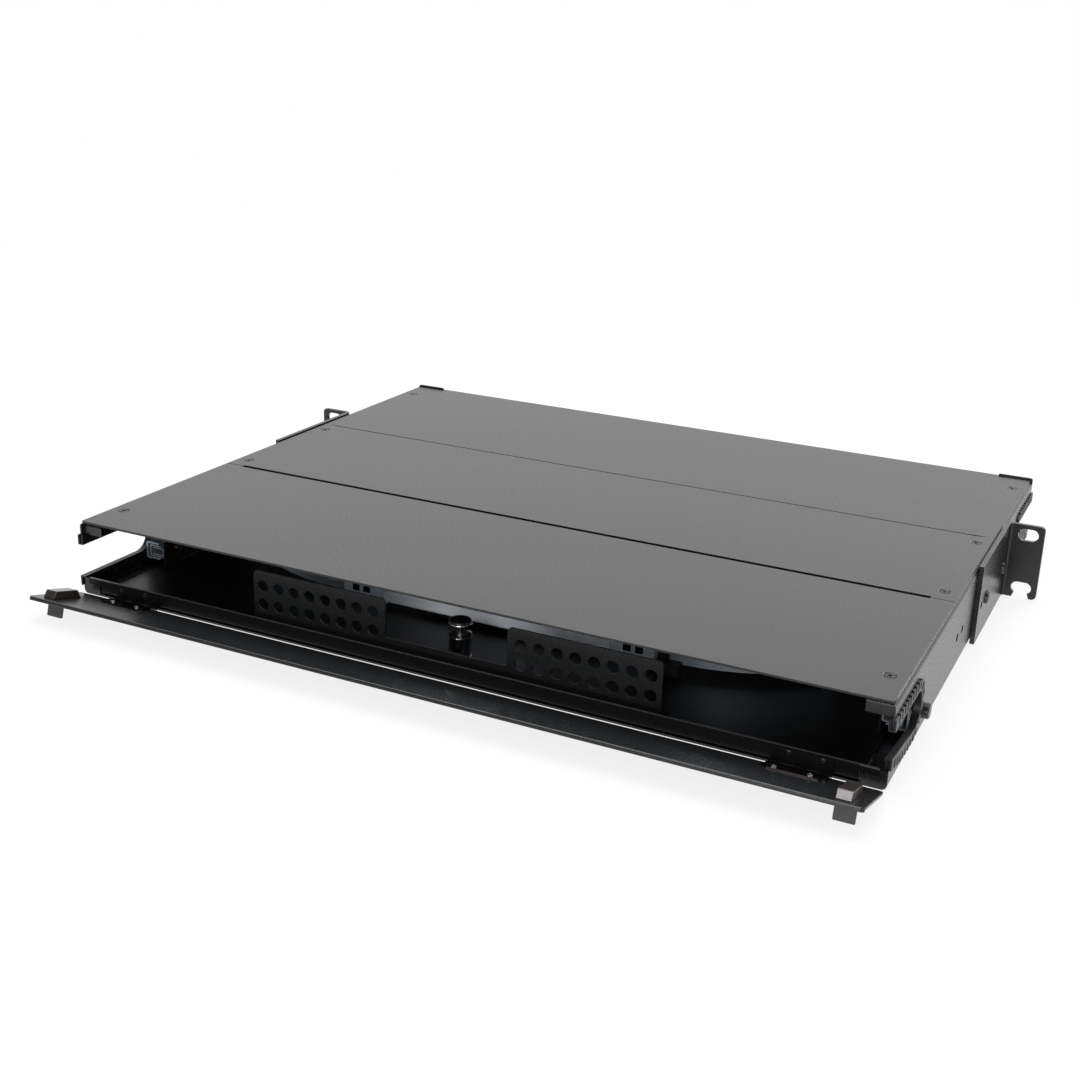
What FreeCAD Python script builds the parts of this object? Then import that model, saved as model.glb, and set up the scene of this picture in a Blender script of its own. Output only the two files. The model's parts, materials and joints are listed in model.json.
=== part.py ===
import FreeCAD, Part
import math
import os

# Sliding fibre patch drawer, one rack unit high, for a 19 inch rack
# Drawing axes: X to the right, Y from the front to the rear, Z up,
# measured from the bottom of the housing at the middle of its front edge.
# Every piece is written with the origin moved to the middle of the four rack ear slots.

# Housing
WIDTH = 440.0
DEPTH = 355.0
HEIGHT = 41.5
SHEET = 1.0
COVER_SHEET = 1.2
BEND = 2.5
SMALL_BEND = 1.5
FLANGE_WIDTH = 16.0
SEAT_GAP = 0.1
SLIDING_GAP = 0.2

# Returns at the corners of the side walls
TAB_WIDTH = 13.0
TAB_SETBACK = 1.9
TAB_BOTTOM = 33.5
LOW_RETURN_WIDTH = 11.0
LOW_RETURN_HEIGHT = 9.0
LOW_RETURN_STEP = 6.0
LOW_RETURN_POST = 3.6
REAR_TAB_WIDTH = 21.0
REAR_TAB_RISE = 1.1
REAR_LOW_HEIGHT = 8.0

# Cable entries in the side walls
ENTRY_RADIUS = 9.0
ENTRY_CENTRE_Z = 19.0
ENTRY_REACH = 43.0
GROMMET_BASE = 0.9
GROMMET_FLANGE = 5.5
GROMMET_WALL = 1.0
GROMMET_OVERHANG = 1.0
TOOTH_PITCH = 5.0
TOOTH_SLOT = 2.0

# Covers and their screws
SEAM_FRONT = 125.1
REAR_COVER_LENGTH = 123.9
SEAM_REAR = DEPTH - REAR_COVER_LENGTH
SEAM_WIDTH = 3.0
SEAM_INSET = 13.3
SEAM_HALF_LENGTH = WIDTH / 2 - SEAM_INSET
TAB_SEAM = 0.2
COVER_SIDE_GAP = 1.3
COVER_CORNER = 1.0
COVER_SCREW_INSET = 8.8
COVER_SCREW_X = WIDTH / 2 - COVER_SCREW_INSET
FRONT_SCREW_INSET = 24.7
MIDDLE_SCREW_INSETS = (11.5, 12.4)
REAR_SCREW_INSET = 24.0
COVER_SCREWS_Y = (FRONT_SCREW_INSET, SEAM_FRONT + MIDDLE_SCREW_INSETS[0],
                  SEAM_REAR - MIDDLE_SCREW_INSETS[1], DEPTH - REAR_SCREW_INSET)
SCREW_SIZE = 3.0
SCREW_HEAD = 5.8
SCREW_LENGTH = 4.0
BRACE_AHEAD = 17.1
BRACE_BEHIND = 6.9
BRACE_Y = (SEAM_REAR - BRACE_AHEAD, SEAM_REAR + BRACE_BEHIND)
BRACE_LAP = 12.0

# Holes in the side walls and the rack brackets
EAR_SETBACK = 94.0
EAR_FACE = DEPTH - EAR_SETBACK
BRACKET_LENGTH = 81.5
BRACKET_FRONT = EAR_FACE - BRACKET_LENGTH
WALL_HOLE = 4.5
WALL_HOLE_AHEAD = 43.0
WALL_HOLE_FIRST = BRACKET_FRONT - WALL_HOLE_AHEAD
WALL_HOLE_STEP = 51.0
WALL_HOLE_PAIR = 13.0
WALL_HOLE_ROWS = 3
WALL_HOLE_Z = 18.5
BRACKET_SHEET = 2.5
EAR_WIDTH = 21.3
EAR_REACH = WIDTH / 2 + EAR_WIDTH
UNIT_HEIGHT = 43.4
UNIT_CENTRE_Z = 20.5
EAR_SLOT_INSET = 8.75
EAR_SLOT_X = EAR_REACH - EAR_SLOT_INSET
EAR_SLOT_STEP = 31.75
EAR_SLOT_LENGTH = 11.2
EAR_SLOT_WIDTH = 7.1
EAR_MOUTH = 7.5
EAR_MOUTH_FLARE = 9.6
BRACKET_SCREW = 4.0
BRACKET_SCREW_HEAD = 7.4
BRACKET_SCREW_RISE = 1.6

# Telescopic slides
SLIDE_FRONT = 48.0
SLIDE_END_GAP = 19.0
SLIDE_LENGTH = DEPTH - SLIDE_FRONT - SLIDE_END_GAP
SLIDE_CENTRE_Z = 10.4
SLIDE_HEIGHT = 10.0
SLIDE_SPACER = 1.6
SLIDE_SHEET = 1.0
SLIDE_FLANGE = 9.0
SLIDE_TRACK_GAP = 0.4
MIDDLE_SHEET = 0.8
MIDDLE_SETBACK = 2.6
MIDDLE_FLANGE = 7.6
INNER_FLANGE = 7.4
SLIDE_SCREW_INSET = 15.5
SLIDE_SCREW_BEHIND_EAR = 24.0
SLIDE_SCREWS_Y = (SLIDE_FRONT + SLIDE_SCREW_INSET, EAR_FACE + SLIDE_SCREW_BEHIND_EAR)
SLIDE_SCREW = 4.0
SLIDE_SCREW_HEAD = 7.4
SLIDE_SCREW_RISE = 3.5

# Sliding tray
TRAY_SHEET = 1.2
TRAY_REAR_GAP = 15.0
TRAY_REAR = DEPTH - TRAY_REAR_GAP
TRAY_LIP_INSET = 12.0
TRAY_LIP_WIDTH = WIDTH - TRAY_LIP_INSET * 2
TRAY_LIP_TOP = 9.3
LIP_HEM = 1.0
LIP_EAR_GAP = 0.2
SLIDE_ROOM = 13.8
TRAY_SIDE_HALF = WIDTH / 2 - SHEET - SLIDE_ROOM
TRAY_SIDE_TOP = 16.0
TRAY_BEND = 2.0
TRAY_REAR_LIP = 12.0

# Pan head screws that hold pieces on the tray floor
FLOOR_SCREW = 3.0
FLOOR_HEAD = 5.6
FLOOR_HEAD_RISE = 1.8
HEAD_CHAMFER = 0.6
STUD = 3.4
STUD_PLACE = (-5.6, 44.0)
STUD_TOP = 7.6
RIVET = 3.0
RIVET_HEAD = 5.0
RIVET_HEAD_RISE = 0.8
FIRST_RIVET = 60.0
LAST_RIVET_INSET = 20.0
LAST_RIVET = TRAY_REAR - LAST_RIVET_INSET
RIVETS_Y = (FIRST_RIVET, (FIRST_RIVET + LAST_RIVET) / 2, LAST_RIVET)

# Perforated cable bar
BAR_FACE = 9.7
BAR_SHEET = 1.2
BAR_HALF = 113.4
BAR_TOP = 31.1
BAR_STRIP_TOP = 10.6
BAR_WINDOW_HALF = 34.0
BAR_CORNER = 2.5
BAR_FOOT = 8.0
BAR_HOLE = 6.3
BAR_PITCH = 9.5
BAR_COLUMNS = 8
BAR_FIRST_HOLE = 41.2
BAR_ROWS_Z = (12.9, 22.8)
BAR_SCREWS_X = (-100.0, -24.0, 24.0, 100.0)

# Locking plunger
PLUNGER_Y = 25.0
BARREL = 11.8
BARREL_TOP = 14.0
BARREL_BORE = 8.0
BARREL_SPIGOT = 7.6
BARREL_RIM = 0.9
PIN = 3.4
PIN_FIT = 0.06
KNOB = 12.2
KNOB_BOTTOM = 19.6
KNOB_DISC = 1.0
KNOB_CAP = 1.6
COLLAR = 7.4
COLLAR_HEIGHT = 1.2
SPRING_WIRE = 0.5
SPRING_RADIUS = 3.0
LOCK_HOLE = 4.2

# Cassette deck behind the cable bar
RAIL_FACE = 58.5
RAIL_BOTTOM = 5.5
RAIL_TOP = 26.0
RAIL_SHEET = 1.2
RAIL_HALF = 66.0
RAIL_FOOT = 10.0
STANDOFF = 8.0
STANDOFF_X = 40.0
BLOCK_FACE = 57.5
BLOCK_WIDTH = 24.3
BLOCK_DEPTH = 9.0
BLOCK_BOTTOM = 4.6
BLOCK_TOP = 16.0
BLOCK_FOOT = 16.0
BLOCK_SCREW = 4.5
BLOCK_WINDOW = 4.3
BLOCK_WINDOW_PITCH = 6.6
BLOCK_WINDOW_FIRST = 9.7
BLOCK_WINDOW_Z = 11.6
GUIDE_CENTRE = (98.5, 161.2)
GUIDE_RADIUS = 100.0
GUIDE_END = 47.0
GUIDE_START_RIGHT = -1.2
GUIDE_START_LEFT = -2.9
GUIDE_LEG = 3.2
GUIDE_SHEET = 1.5
GUIDE_BOTTOM = 7.0
GUIDE_TOP = 24.0
GUIDE_FOOT = 10.0
GUIDE_TONGUE = (93.0, 101.0)
TONGUE_INSET = 0.6
CLAMP_X = (91.9, 104.2)
CLAMP_DEPTH = 5.8
CLAMP_TOP = 8.6
CLAMP_GAP = 0.3
THUMB_SCREW = 5.8
THUMB_SCREW_X = 95.2
THUMB_SCREW_HEIGHT = 5.0
THUMB_TEETH = 14
TOOTH_CUT = 0.5

# Adapter plate frame, three openings for standard adapter plates
FRAME_FACE = 150.0
FRAME_SHEET = 1.5
FRAME_TOP = 37.0
FRAME_INSET = 20.0
FRAME_HALF = WIDTH / 2 - FRAME_INSET
FRAME_FOOT = 14.0
PLATE_MARGIN = 14.6
PLATE_GAP = 23.4
PLATE_WINDOW_WIDTH = (FRAME_HALF * 2 - PLATE_MARGIN * 2 - PLATE_GAP * 2) / 3
PLATE_WINDOW_HEIGHT = 24.0
PLATE_PITCH = PLATE_WINDOW_WIDTH + PLATE_GAP
PLATE_CENTRE_Z = 20.5
RIVET_REACH = 5.05
RIVET_PITCH = PLATE_WINDOW_WIDTH + RIVET_REACH * 2
RIVET_HOLE = 4.8
FRAME_SCREW_INSET = 10.0
FRAME_SCREW_X = FRAME_HALF - FRAME_SCREW_INSET
FRAME_SCREWS_X = (-FRAME_SCREW_X, -PLATE_PITCH / 2, PLATE_PITCH / 2, FRAME_SCREW_X)

# Slack storage behind the adapter plates
SPOOL_X = 110.0
SPOOL_INSET = 95.0
SPOOL_Y = TRAY_REAR - SPOOL_INSET
SPOOL_RADIUS = 30.0
SPOOL_HEIGHT = 20.0
SPOOL_WALL = 2.0
SPOOL_FINGER = 10.0
SPOOL_FINGERS = 4
SPOOL_FINGER_WIDTH = 14.0

# Door, hinges and latches
HINGE_Y = -3.0
HINGE_Z = 1.0
DOOR_ANGLE = 16.0
DOOR_SHEET = 1.2
DOOR_SKIN = 0.5
DOOR_FOOT = 1.4
DOOR_REACH = 39.2
DOOR_CORNER = 2.5
DOOR_HEM = 1.8
DOOR_HEM_DROP = 0.8
HINGE_INSET = 37.2
HINGE_CENTRE = WIDTH / 2 - HINGE_INSET
HINGE_WIDTH = 28.4
HINGE_PIN = 1.2
HINGE_KNUCKLE = 2.4
HINGE_FIT = 0.06
HINGE_SHEET = 0.8
HINGE_KNUCKLES = 5
HINGE_GAP = 0.2
DOOR_LEAF_REACH = 12.5
DOOR_LEAF_CHAMFER = 3.0
DOOR_LEAF_SCREW_STEPS = (-9.0, 6.9)
DOOR_LEAF_SCREWS = [HINGE_CENTRE + step for step in DOOR_LEAF_SCREW_STEPS]
DOOR_LEAF_SCREW_REACH = 9.0
LIP_LEAF_TOP = 9.0
LIP_LEAF_SCREW_STEPS = (-6.0, 9.4)
LIP_LEAF_SCREWS = [HINGE_CENTRE + step for step in LIP_LEAF_SCREW_STEPS]
LIP_LEAF_SCREW_Z = 7.4
SMALL_SCREW = 1.6
SMALL_HEAD = 2.6
SMALL_HEAD_RISE = 0.7
LATCH_INSET = 6.2
LATCH_WIDTH = 7.0
LATCH_OUTER = WIDTH / 2 - LATCH_INSET
LATCH_X = (LATCH_OUTER - LATCH_WIDTH, LATCH_OUTER)
LATCH_BASE = (14.2, 34.6)
LATCH_TOP = (17.4, 33.0)
LATCH_HEIGHT = 4.2
LATCH_TAB_MARGINS = (0.9, 1.5)
LATCH_TAB_X = (LATCH_X[0] - LATCH_TAB_MARGINS[0], LATCH_X[1] + LATCH_TAB_MARGINS[1])
LATCH_TAB_AT = 28.0
LATCH_TAB_SHEET = 1.9
LATCH_TAB_REACH = 9.1
LATCH_STEM = 5.0

HALF = WIDTH / 2
COVER_BOTTOM = HEIGHT - COVER_SHEET
FLANGE_TOP = COVER_BOTTOM
WALL_IN = HALF - SHEET
TRAY_BOTTOM = SHEET + SLIDING_GAP
TRAY_FLOOR = TRAY_BOTTOM + TRAY_SHEET
ORIGIN = FreeCAD.Vector(0, EAR_FACE, UNIT_CENTRE_Z)
X_AXIS = FreeCAD.Vector(1, 0, 0)
Y_AXIS = FreeCAD.Vector(0, 1, 0)
Z_AXIS = FreeCAD.Vector(0, 0, 1)


# Small building blocks
def vec(x, y, z):
    return FreeCAD.Vector(x, y, z)


def box(x0, x1, y0, y1, z0, z1):
    return Part.makeBox(x1 - x0, y1 - y0, z1 - z0, vec(x0, y0, z0))


def rod(radius, start, axis, length):
    return Part.makeCylinder(radius, length, start, axis)


def taper(first, last, start, axis, length):
    return Part.makeCone(first, last, length, start, axis)


def joined(shapes):
    first, rest = shapes[0], shapes[1:]
    return first.fuse(rest).removeSplitter() if rest else first


def mirrored(shape):
    return shape.mirror(vec(0, 0, 0), X_AXIS)


def both_sides(shape):
    return Part.makeCompound([shape, mirrored(shape)])


def save(name, shape):
    moved = shape.copy()
    moved.translate(ORIGIN.negative())
    moved.exportStep("parts/%s.step" % name)


def save_pair(name, right_shape):
    save(name + "_right", right_shape)
    save(name + "_left", mirrored(right_shape))


# Plane points become places in space: x planes hold (Y, Z), y planes (X, Z), z planes (X, Y)
def in_space(plane, offset, point):
    u, v = point
    if plane == "x":
        return vec(offset, u, v)
    if plane == "y":
        return vec(u, offset, v)
    return vec(u, v, offset)


def corner_arc(before, corner, after, radius):
    to_before = before.sub(corner)
    to_after = after.sub(corner)
    half = to_before.getAngle(to_after) / 2
    cut = radius / math.tan(half)
    to_before.normalize()
    to_after.normalize()
    middle = to_before.add(to_after)
    middle.normalize()
    start = corner.add(to_before.multiply(cut))
    end = corner.add(to_after.multiply(cut))
    inner = corner.add(middle.multiply(radius / math.sin(half) - radius))
    return start, inner, end


# Closed outline with an arc at each corner that has a radius
def outline(plane, offset, points, radii):
    places = [in_space(plane, offset, point) for point in points]
    count = len(places)
    spans = []
    for i in range(count):
        if radii[i] > 0:
            spans.append(corner_arc(places[i - 1], places[i], places[(i + 1) % count], radii[i]))
        else:
            spans.append((places[i], None, places[i]))
    edges = []
    for i in range(count):
        start, inner, end = spans[i]
        if inner is not None:
            edges.append(Part.Arc(start, inner, end).toShape())
        following = spans[(i + 1) % count][0]
        if end.distanceToPoint(following) > 0.0001:
            edges.append(Part.LineSegment(end, following).toShape())
    return Part.Face(Part.Wire(edges))


def prism(plane, offset, length, points, radii=None):
    direction = {"x": vec(length, 0, 0), "y": vec(0, length, 0), "z": vec(0, 0, length)}[plane]
    return outline(plane, offset, points, radii or [0] * len(points)).extrude(direction)


# A bent sheet lies to the left of its path, with arcs at its bends
def bent_sheet(plane, offset, length, path, thickness, inside_radius):
    side = []
    path_radii = []
    side_radii = []
    normals = []
    for (u0, v0), (u1, v1) in zip(path, path[1:]):
        run = math.hypot(u1 - u0, v1 - v0)
        normals.append(((v0 - v1) / run, (u1 - u0) / run))
    for i, (u, v) in enumerate(path):
        first = normals[max(i - 1, 0)]
        second = normals[min(i, len(normals) - 1)]
        spread = thickness / (1 + first[0] * second[0] + first[1] * second[1])
        side.append((u + (first[0] + second[0]) * spread, v + (first[1] + second[1]) * spread))
        turn = first[0] * second[1] - first[1] * second[0]
        wide = inside_radius + thickness
        if abs(turn) < 0.001:
            path_radii.append(0)
            side_radii.append(0)
        else:
            path_radii.append(wide if turn > 0 else inside_radius)
            side_radii.append(inside_radius if turn > 0 else wide)
    return prism(plane, offset, length, path + side[::-1], path_radii + side_radii[::-1])


# Slot with round ends, centred, its length along the first axis of the plane
def slot(plane, offset, depth, centre, length, width):
    reach = (length - width) / 2
    u, v = centre
    axis = {"x": X_AXIS, "y": Y_AXIS, "z": Z_AXIS}[plane]
    middle = [(u - reach, v - width / 2), (u + reach, v - width / 2),
              (u + reach, v + width / 2), (u - reach, v + width / 2)]
    ends = [rod(width / 2, in_space(plane, offset, (u + step, v)), axis, depth) for step in (-reach, reach)]
    return joined([prism(plane, offset, depth, middle)] + ends)


# Opening in a side wall that starts past the front edge and ends in a half circle
def entry(radius, x0, x1, start=-2.0):
    straight = box(x0, x1, start, ENTRY_REACH, ENTRY_CENTRE_Z - radius, ENTRY_CENTRE_Z + radius)
    end = rod(radius, vec(x0, ENTRY_REACH, ENTRY_CENTRE_Z), X_AXIS, x1 - x0)
    return joined([straight, end])


def to_rear(shape):
    return shape.mirror(vec(0, DEPTH / 2, 0), Y_AXIS)


# Housing
def wall_hole_places():
    firsts = [WALL_HOLE_FIRST + WALL_HOLE_STEP * row for row in range(WALL_HOLE_ROWS)]
    return [first + step for first in firsts for step in (0, WALL_HOLE_PAIR)]


def screw_shaft_holes(radius, z0, z1):
    holes = [rod(radius, vec(COVER_SCREW_X, y, z0), Z_AXIS, z1 - z0) for y in COVER_SCREWS_Y]
    return both_sides(Part.makeCompound(holes))


def front_tab():
    path = [(TAB_SETBACK + BEND * 2, FLANGE_TOP), (TAB_SETBACK, FLANGE_TOP), (TAB_SETBACK, TAB_BOTTOM)]
    inner = HALF - TAB_WIDTH
    return bent_sheet("x", inner, WALL_IN - inner, path, SHEET, SMALL_BEND)


def low_return():
    post = HALF - LOW_RETURN_POST
    points = [(HALF - LOW_RETURN_WIDTH, 0), (HALF, 0), (HALF, LOW_RETURN_HEIGHT),
              (post, LOW_RETURN_HEIGHT), (post, LOW_RETURN_STEP), (HALF - LOW_RETURN_WIDTH, LOW_RETURN_STEP)]
    return prism("y", 0, SHEET, points, [0, BEND, 0, 0, 0, SMALL_BEND])


def rear_returns():
    inner = HALF - REAR_TAB_WIDTH
    edge = DEPTH - SHEET
    top = HEIGHT + REAR_TAB_RISE
    upper = [(inner, TAB_BOTTOM), (HALF, TAB_BOTTOM), (HALF, top), (inner, top)]
    lower = [(inner, 0), (HALF, 0), (HALF, REAR_LOW_HEIGHT), (inner, REAR_LOW_HEIGHT)]
    return [prism("y", edge, SHEET, upper, [0, 0, SMALL_BEND, SMALL_BEND]),
            prism("y", edge, SHEET, lower, [0, BEND, 0, SMALL_BEND])]


def chassis():
    flange_end = HALF - FLANGE_WIDTH
    path = [(-flange_end, FLANGE_TOP), (-HALF, FLANGE_TOP), (-HALF, 0),
            (HALF, 0), (HALF, FLANGE_TOP), (flange_end, FLANGE_TOP)]
    shell = bent_sheet("y", 0, DEPTH, path, SHEET, BEND - SHEET)
    relief = box(flange_end - 1, WALL_IN, -1, TAB_SETBACK + BEND, TAB_BOTTOM, FLANGE_TOP + 1)
    shell = shell.cut(both_sides(relief))
    additions = [front_tab(), low_return()] + rear_returns()
    additions += [mirrored(piece) for piece in additions]
    rear_half = HALF - REAR_TAB_WIDTH - 1
    additions.append(box(-rear_half, rear_half, DEPTH - SHEET, DEPTH, 0, COVER_BOTTOM - SEAT_GAP))
    shell = joined([shell] + additions)
    cut_out = entry(ENTRY_RADIUS + 1, WALL_IN - 0.1, HALF + 1)
    cuts = [cut_out, mirrored(cut_out), to_rear(cut_out), to_rear(mirrored(cut_out))]
    for y in wall_hole_places():
        cuts.append(rod(WALL_HOLE / 2, vec(-HALF - 1, y, WALL_HOLE_Z), X_AXIS, WIDTH + 2))
    for y in SLIDE_SCREWS_Y:
        cuts.append(rod(SLIDE_SCREW / 2 + SEAT_GAP, vec(-HALF - 1, y, SLIDE_CENTRE_Z), X_AXIS, WIDTH + 2))
    cuts.append(rod(LOCK_HOLE / 2, vec(0, PLUNGER_Y, -1), Z_AXIS, SHEET + 2))
    cuts.append(screw_shaft_holes(SCREW_SIZE / 2 + SEAT_GAP, FLANGE_TOP - SHEET - 1, FLANGE_TOP + 1))
    return shell.cut(cuts)


# Top covers
def seam_edge(seam, side):
    main = seam + side * SEAM_WIDTH / 2
    end = seam + side * TAB_SEAM / 2
    outer = HALF - COVER_SIDE_GAP
    return [(outer, end), (SEAM_HALF_LENGTH, main), (-SEAM_HALF_LENGTH, main), (-outer, end)]


def stepped(edge):
    (outer, end), (inner, main) = edge[0], edge[1]
    return [(outer, end), (inner, end), (inner, main), (-inner, main), (-inner, end), (-outer, end)]


def cover(front_edge, rear_edge, screws_y):
    points = rear_edge + front_edge[::-1]
    radii = [COVER_CORNER if v == 0.0 else 0 for u, v in points]
    plate = prism("z", COVER_BOTTOM, COVER_SHEET, points, radii)
    cuts = []
    for y in screws_y:
        seat = taper(SCREW_HEAD / 2 - COVER_SHEET + SEAT_GAP * 2, SCREW_HEAD / 2 + SEAT_GAP * 2,
                     vec(COVER_SCREW_X, y, COVER_BOTTOM), Z_AXIS, COVER_SHEET)
        cuts += [seat, mirrored(seat)]
    return plate.cut(cuts)


def front_cover():
    outer = HALF - COVER_SIDE_GAP
    return cover([(outer, 0.0), (-outer, 0.0)], stepped(seam_edge(SEAM_FRONT, -1)), COVER_SCREWS_Y[:1])


def middle_cover():
    return cover(stepped(seam_edge(SEAM_FRONT, 1)), stepped(seam_edge(SEAM_REAR, -1)), COVER_SCREWS_Y[1:3])


def rear_cover():
    outer = HALF - COVER_SIDE_GAP
    inner = HALF - REAR_TAB_WIDTH - SEAT_GAP * 5
    edge = DEPTH - SHEET - SEAT_GAP
    rear = [(outer, edge), (inner, edge), (inner, DEPTH), (-inner, DEPTH), (-inner, edge), (-outer, edge)]
    return cover(stepped(seam_edge(SEAM_REAR, 1)), rear, COVER_SCREWS_Y[3:])


def cover_screws():
    screws = []
    for y in COVER_SCREWS_Y:
        top = HEIGHT - SEAT_GAP
        head = taper(SCREW_HEAD / 2 - COVER_SHEET + SEAT_GAP, SCREW_HEAD / 2,
                     vec(COVER_SCREW_X, y, top - COVER_SHEET + SEAT_GAP), Z_AXIS, COVER_SHEET - SEAT_GAP)
        shaft = rod(SCREW_SIZE / 2, vec(COVER_SCREW_X, y, top - SCREW_LENGTH), Z_AXIS, SCREW_LENGTH - 1)
        screws.append(joined([head, shaft]))
    return both_sides(Part.makeCompound(screws))


def cover_brace():
    low = FLANGE_TOP - SHEET * 2 - SEAT_GAP
    high = low + SHEET
    lap = HALF - FLANGE_WIDTH - BEND / 2
    path = [(-lap - BRACE_LAP, low), (-lap, low), (-lap + SHEET, high),
            (lap - SHEET, high), (lap, low), (lap + BRACE_LAP, low)]
    front, rear = BRACE_Y
    bar = bent_sheet("y", front, rear - front, path, SHEET - SEAT_GAP, SEAT_GAP)
    return bar.cut(screw_shaft_holes(SCREW_SIZE / 2 + SEAT_GAP, low - 1, high))


# Slotted edge grommet, a U section that grips the edge of a cable entry
def tooth_slots():
    low = ENTRY_RADIUS + GROMMET_BASE + SEAT_GAP * 4
    high = ENTRY_RADIUS + GROMMET_FLANGE + 1
    x0 = WALL_IN - GROMMET_WALL * 2
    x1 = HALF + GROMMET_WALL * 2
    slots = []
    straight = int((ENTRY_REACH + GROMMET_OVERHANG) / TOOTH_PITCH)
    for i in range(straight):
        y = ENTRY_REACH - (i + 0.5) * TOOTH_PITCH
        half = TOOTH_SLOT / 2
        slots.append(box(x0, x1, y - half, y + half, ENTRY_CENTRE_Z + low, ENTRY_CENTRE_Z + high))
        slots.append(box(x0, x1, y - half, y + half, ENTRY_CENTRE_Z - high, ENTRY_CENTRE_Z - low))
    turns = round(math.pi * (ENTRY_RADIUS + GROMMET_FLANGE / 2) / TOOTH_PITCH)
    for i in range(turns):
        tooth = box(x0, x1, low, high, -TOOTH_SLOT / 2, TOOTH_SLOT / 2)
        tooth.rotate(vec(0, 0, 0), X_AXIS, -90 + (i + 0.5) * 180 / turns)
        tooth.translate(vec(0, ENTRY_REACH, ENTRY_CENTRE_Z))
        slots.append(tooth)
    return slots


def grommet():
    x0 = WALL_IN - SEAT_GAP - GROMMET_WALL
    x1 = HALF + SEAT_GAP + GROMMET_WALL
    body = entry(ENTRY_RADIUS + GROMMET_FLANGE, x0, x1, -GROMMET_OVERHANG)
    body = body.cut(entry(ENTRY_RADIUS, x0 - 1, x1 + 1))
    groove = entry(ENTRY_RADIUS + GROMMET_FLANGE + 1, WALL_IN - SEAT_GAP, HALF + SEAT_GAP)
    groove = groove.cut(entry(ENTRY_RADIUS + GROMMET_BASE, WALL_IN - 1, HALF + 1, -3.0))
    bottom = ENTRY_CENTRE_Z - ENTRY_RADIUS
    return_relief = box(x0 - 1, WALL_IN - SEAT_GAP, -3.0, SHEET + SEAT_GAP, 0, bottom - GROMMET_BASE)
    return body.cut([groove, return_relief] + tooth_slots())


# Rack bracket with one closed slot and one open slot
def rack_bracket():
    low = UNIT_CENTRE_Z - UNIT_HEIGHT / 2
    back = EAR_FACE + BRACKET_SHEET
    path = [(EAR_REACH, back), (HALF, back), (HALF, BRACKET_FRONT)]
    body = bent_sheet("z", low, UNIT_HEIGHT, path, BRACKET_SHEET, SMALL_BEND)
    high = low + UNIT_HEIGHT
    frame = [(HALF - 1, low), (EAR_REACH, low), (EAR_REACH, high), (HALF - 1, high)]
    body = body.common(prism("y", BRACKET_FRONT - 1, DEPTH, frame, [0, BEND, BEND, 0]))
    upper = UNIT_CENTRE_Z + EAR_SLOT_STEP / 2
    lower = UNIT_CENTRE_Z - EAR_SLOT_STEP / 2
    front = EAR_FACE - 1
    depth = BRACKET_SHEET + 2
    cuts = [slot("y", front, depth, (EAR_SLOT_X, z), EAR_SLOT_LENGTH, EAR_SLOT_WIDTH) for z in (upper, lower)]
    neck = EAR_MOUTH / 2
    flare = EAR_MOUTH_FLARE / 2
    mouth = [(-neck, lower), (-neck, low + BEND), (-flare, low - 0.1),
             (flare, low - 0.1), (neck, low + BEND), (neck, lower)]
    cuts.append(prism("y", front, depth, [(EAR_SLOT_X + u, v) for u, v in mouth]))
    for y in wall_hole_places():
        if y > BRACKET_FRONT:
            cuts.append(rod(WALL_HOLE / 2, vec(HALF - 1, y, WALL_HOLE_Z), X_AXIS, BRACKET_SHEET + 2))
    return body.cut(cuts)


def bracket_screws():
    screws = []
    places = [y for y in wall_hole_places() if y > BRACKET_FRONT]
    for y in places[1::2]:
        face = HALF + BRACKET_SHEET
        head = rod(BRACKET_SCREW_HEAD / 2, vec(face, y, WALL_HOLE_Z), X_AXIS, BRACKET_SCREW_RISE)
        rim = [edge for edge in head.Edges if edge.BoundBox.XMin > face + BRACKET_SCREW_RISE - 0.1]
        head = head.makeChamfer(HEAD_CHAMFER, rim[:1])
        shaft = rod(BRACKET_SCREW / 2, vec(WALL_IN - 1, y, WALL_HOLE_Z), X_AXIS, face - WALL_IN + 1)
        screws.append(joined([head, shaft]))
    return both_sides(Part.makeCompound(screws))


# Telescopic slides: outer member on the wall, inner member on the tray, middle member between
def slide_web():
    return WALL_IN - SLIDE_SPACER


def slide_outer():
    low = SLIDE_CENTRE_Z - SLIDE_HEIGHT / 2
    high = SLIDE_CENTRE_Z + SLIDE_HEIGHT / 2
    web = slide_web()
    path = [(web - SLIDE_FLANGE, low), (web, low), (web, high), (web - SLIDE_FLANGE, high)]
    member = bent_sheet("y", SLIDE_FRONT, SLIDE_LENGTH, path, SLIDE_SHEET, SLIDE_SHEET / 2)
    start = web - SLIDE_SHEET * 2
    radius = SLIDE_SCREW / 2 + SEAT_GAP
    holes = [rod(radius, vec(start, y, SLIDE_CENTRE_Z), X_AXIS, SLIDE_SHEET * 3) for y in SLIDE_SCREWS_Y]
    return member.cut(holes)


def slide_middle():
    reach = SLIDE_HEIGHT / 2 - SLIDE_SHEET - SLIDE_TRACK_GAP
    low = SLIDE_CENTRE_Z - reach
    high = SLIDE_CENTRE_Z + reach
    web = slide_web() - MIDDLE_SETBACK
    path = [(web - MIDDLE_FLANGE, low), (web, low), (web, high), (web - MIDDLE_FLANGE, high)]
    return bent_sheet("y", SLIDE_FRONT, SLIDE_LENGTH, path, MIDDLE_SHEET, MIDDLE_SHEET / 2)


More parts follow.
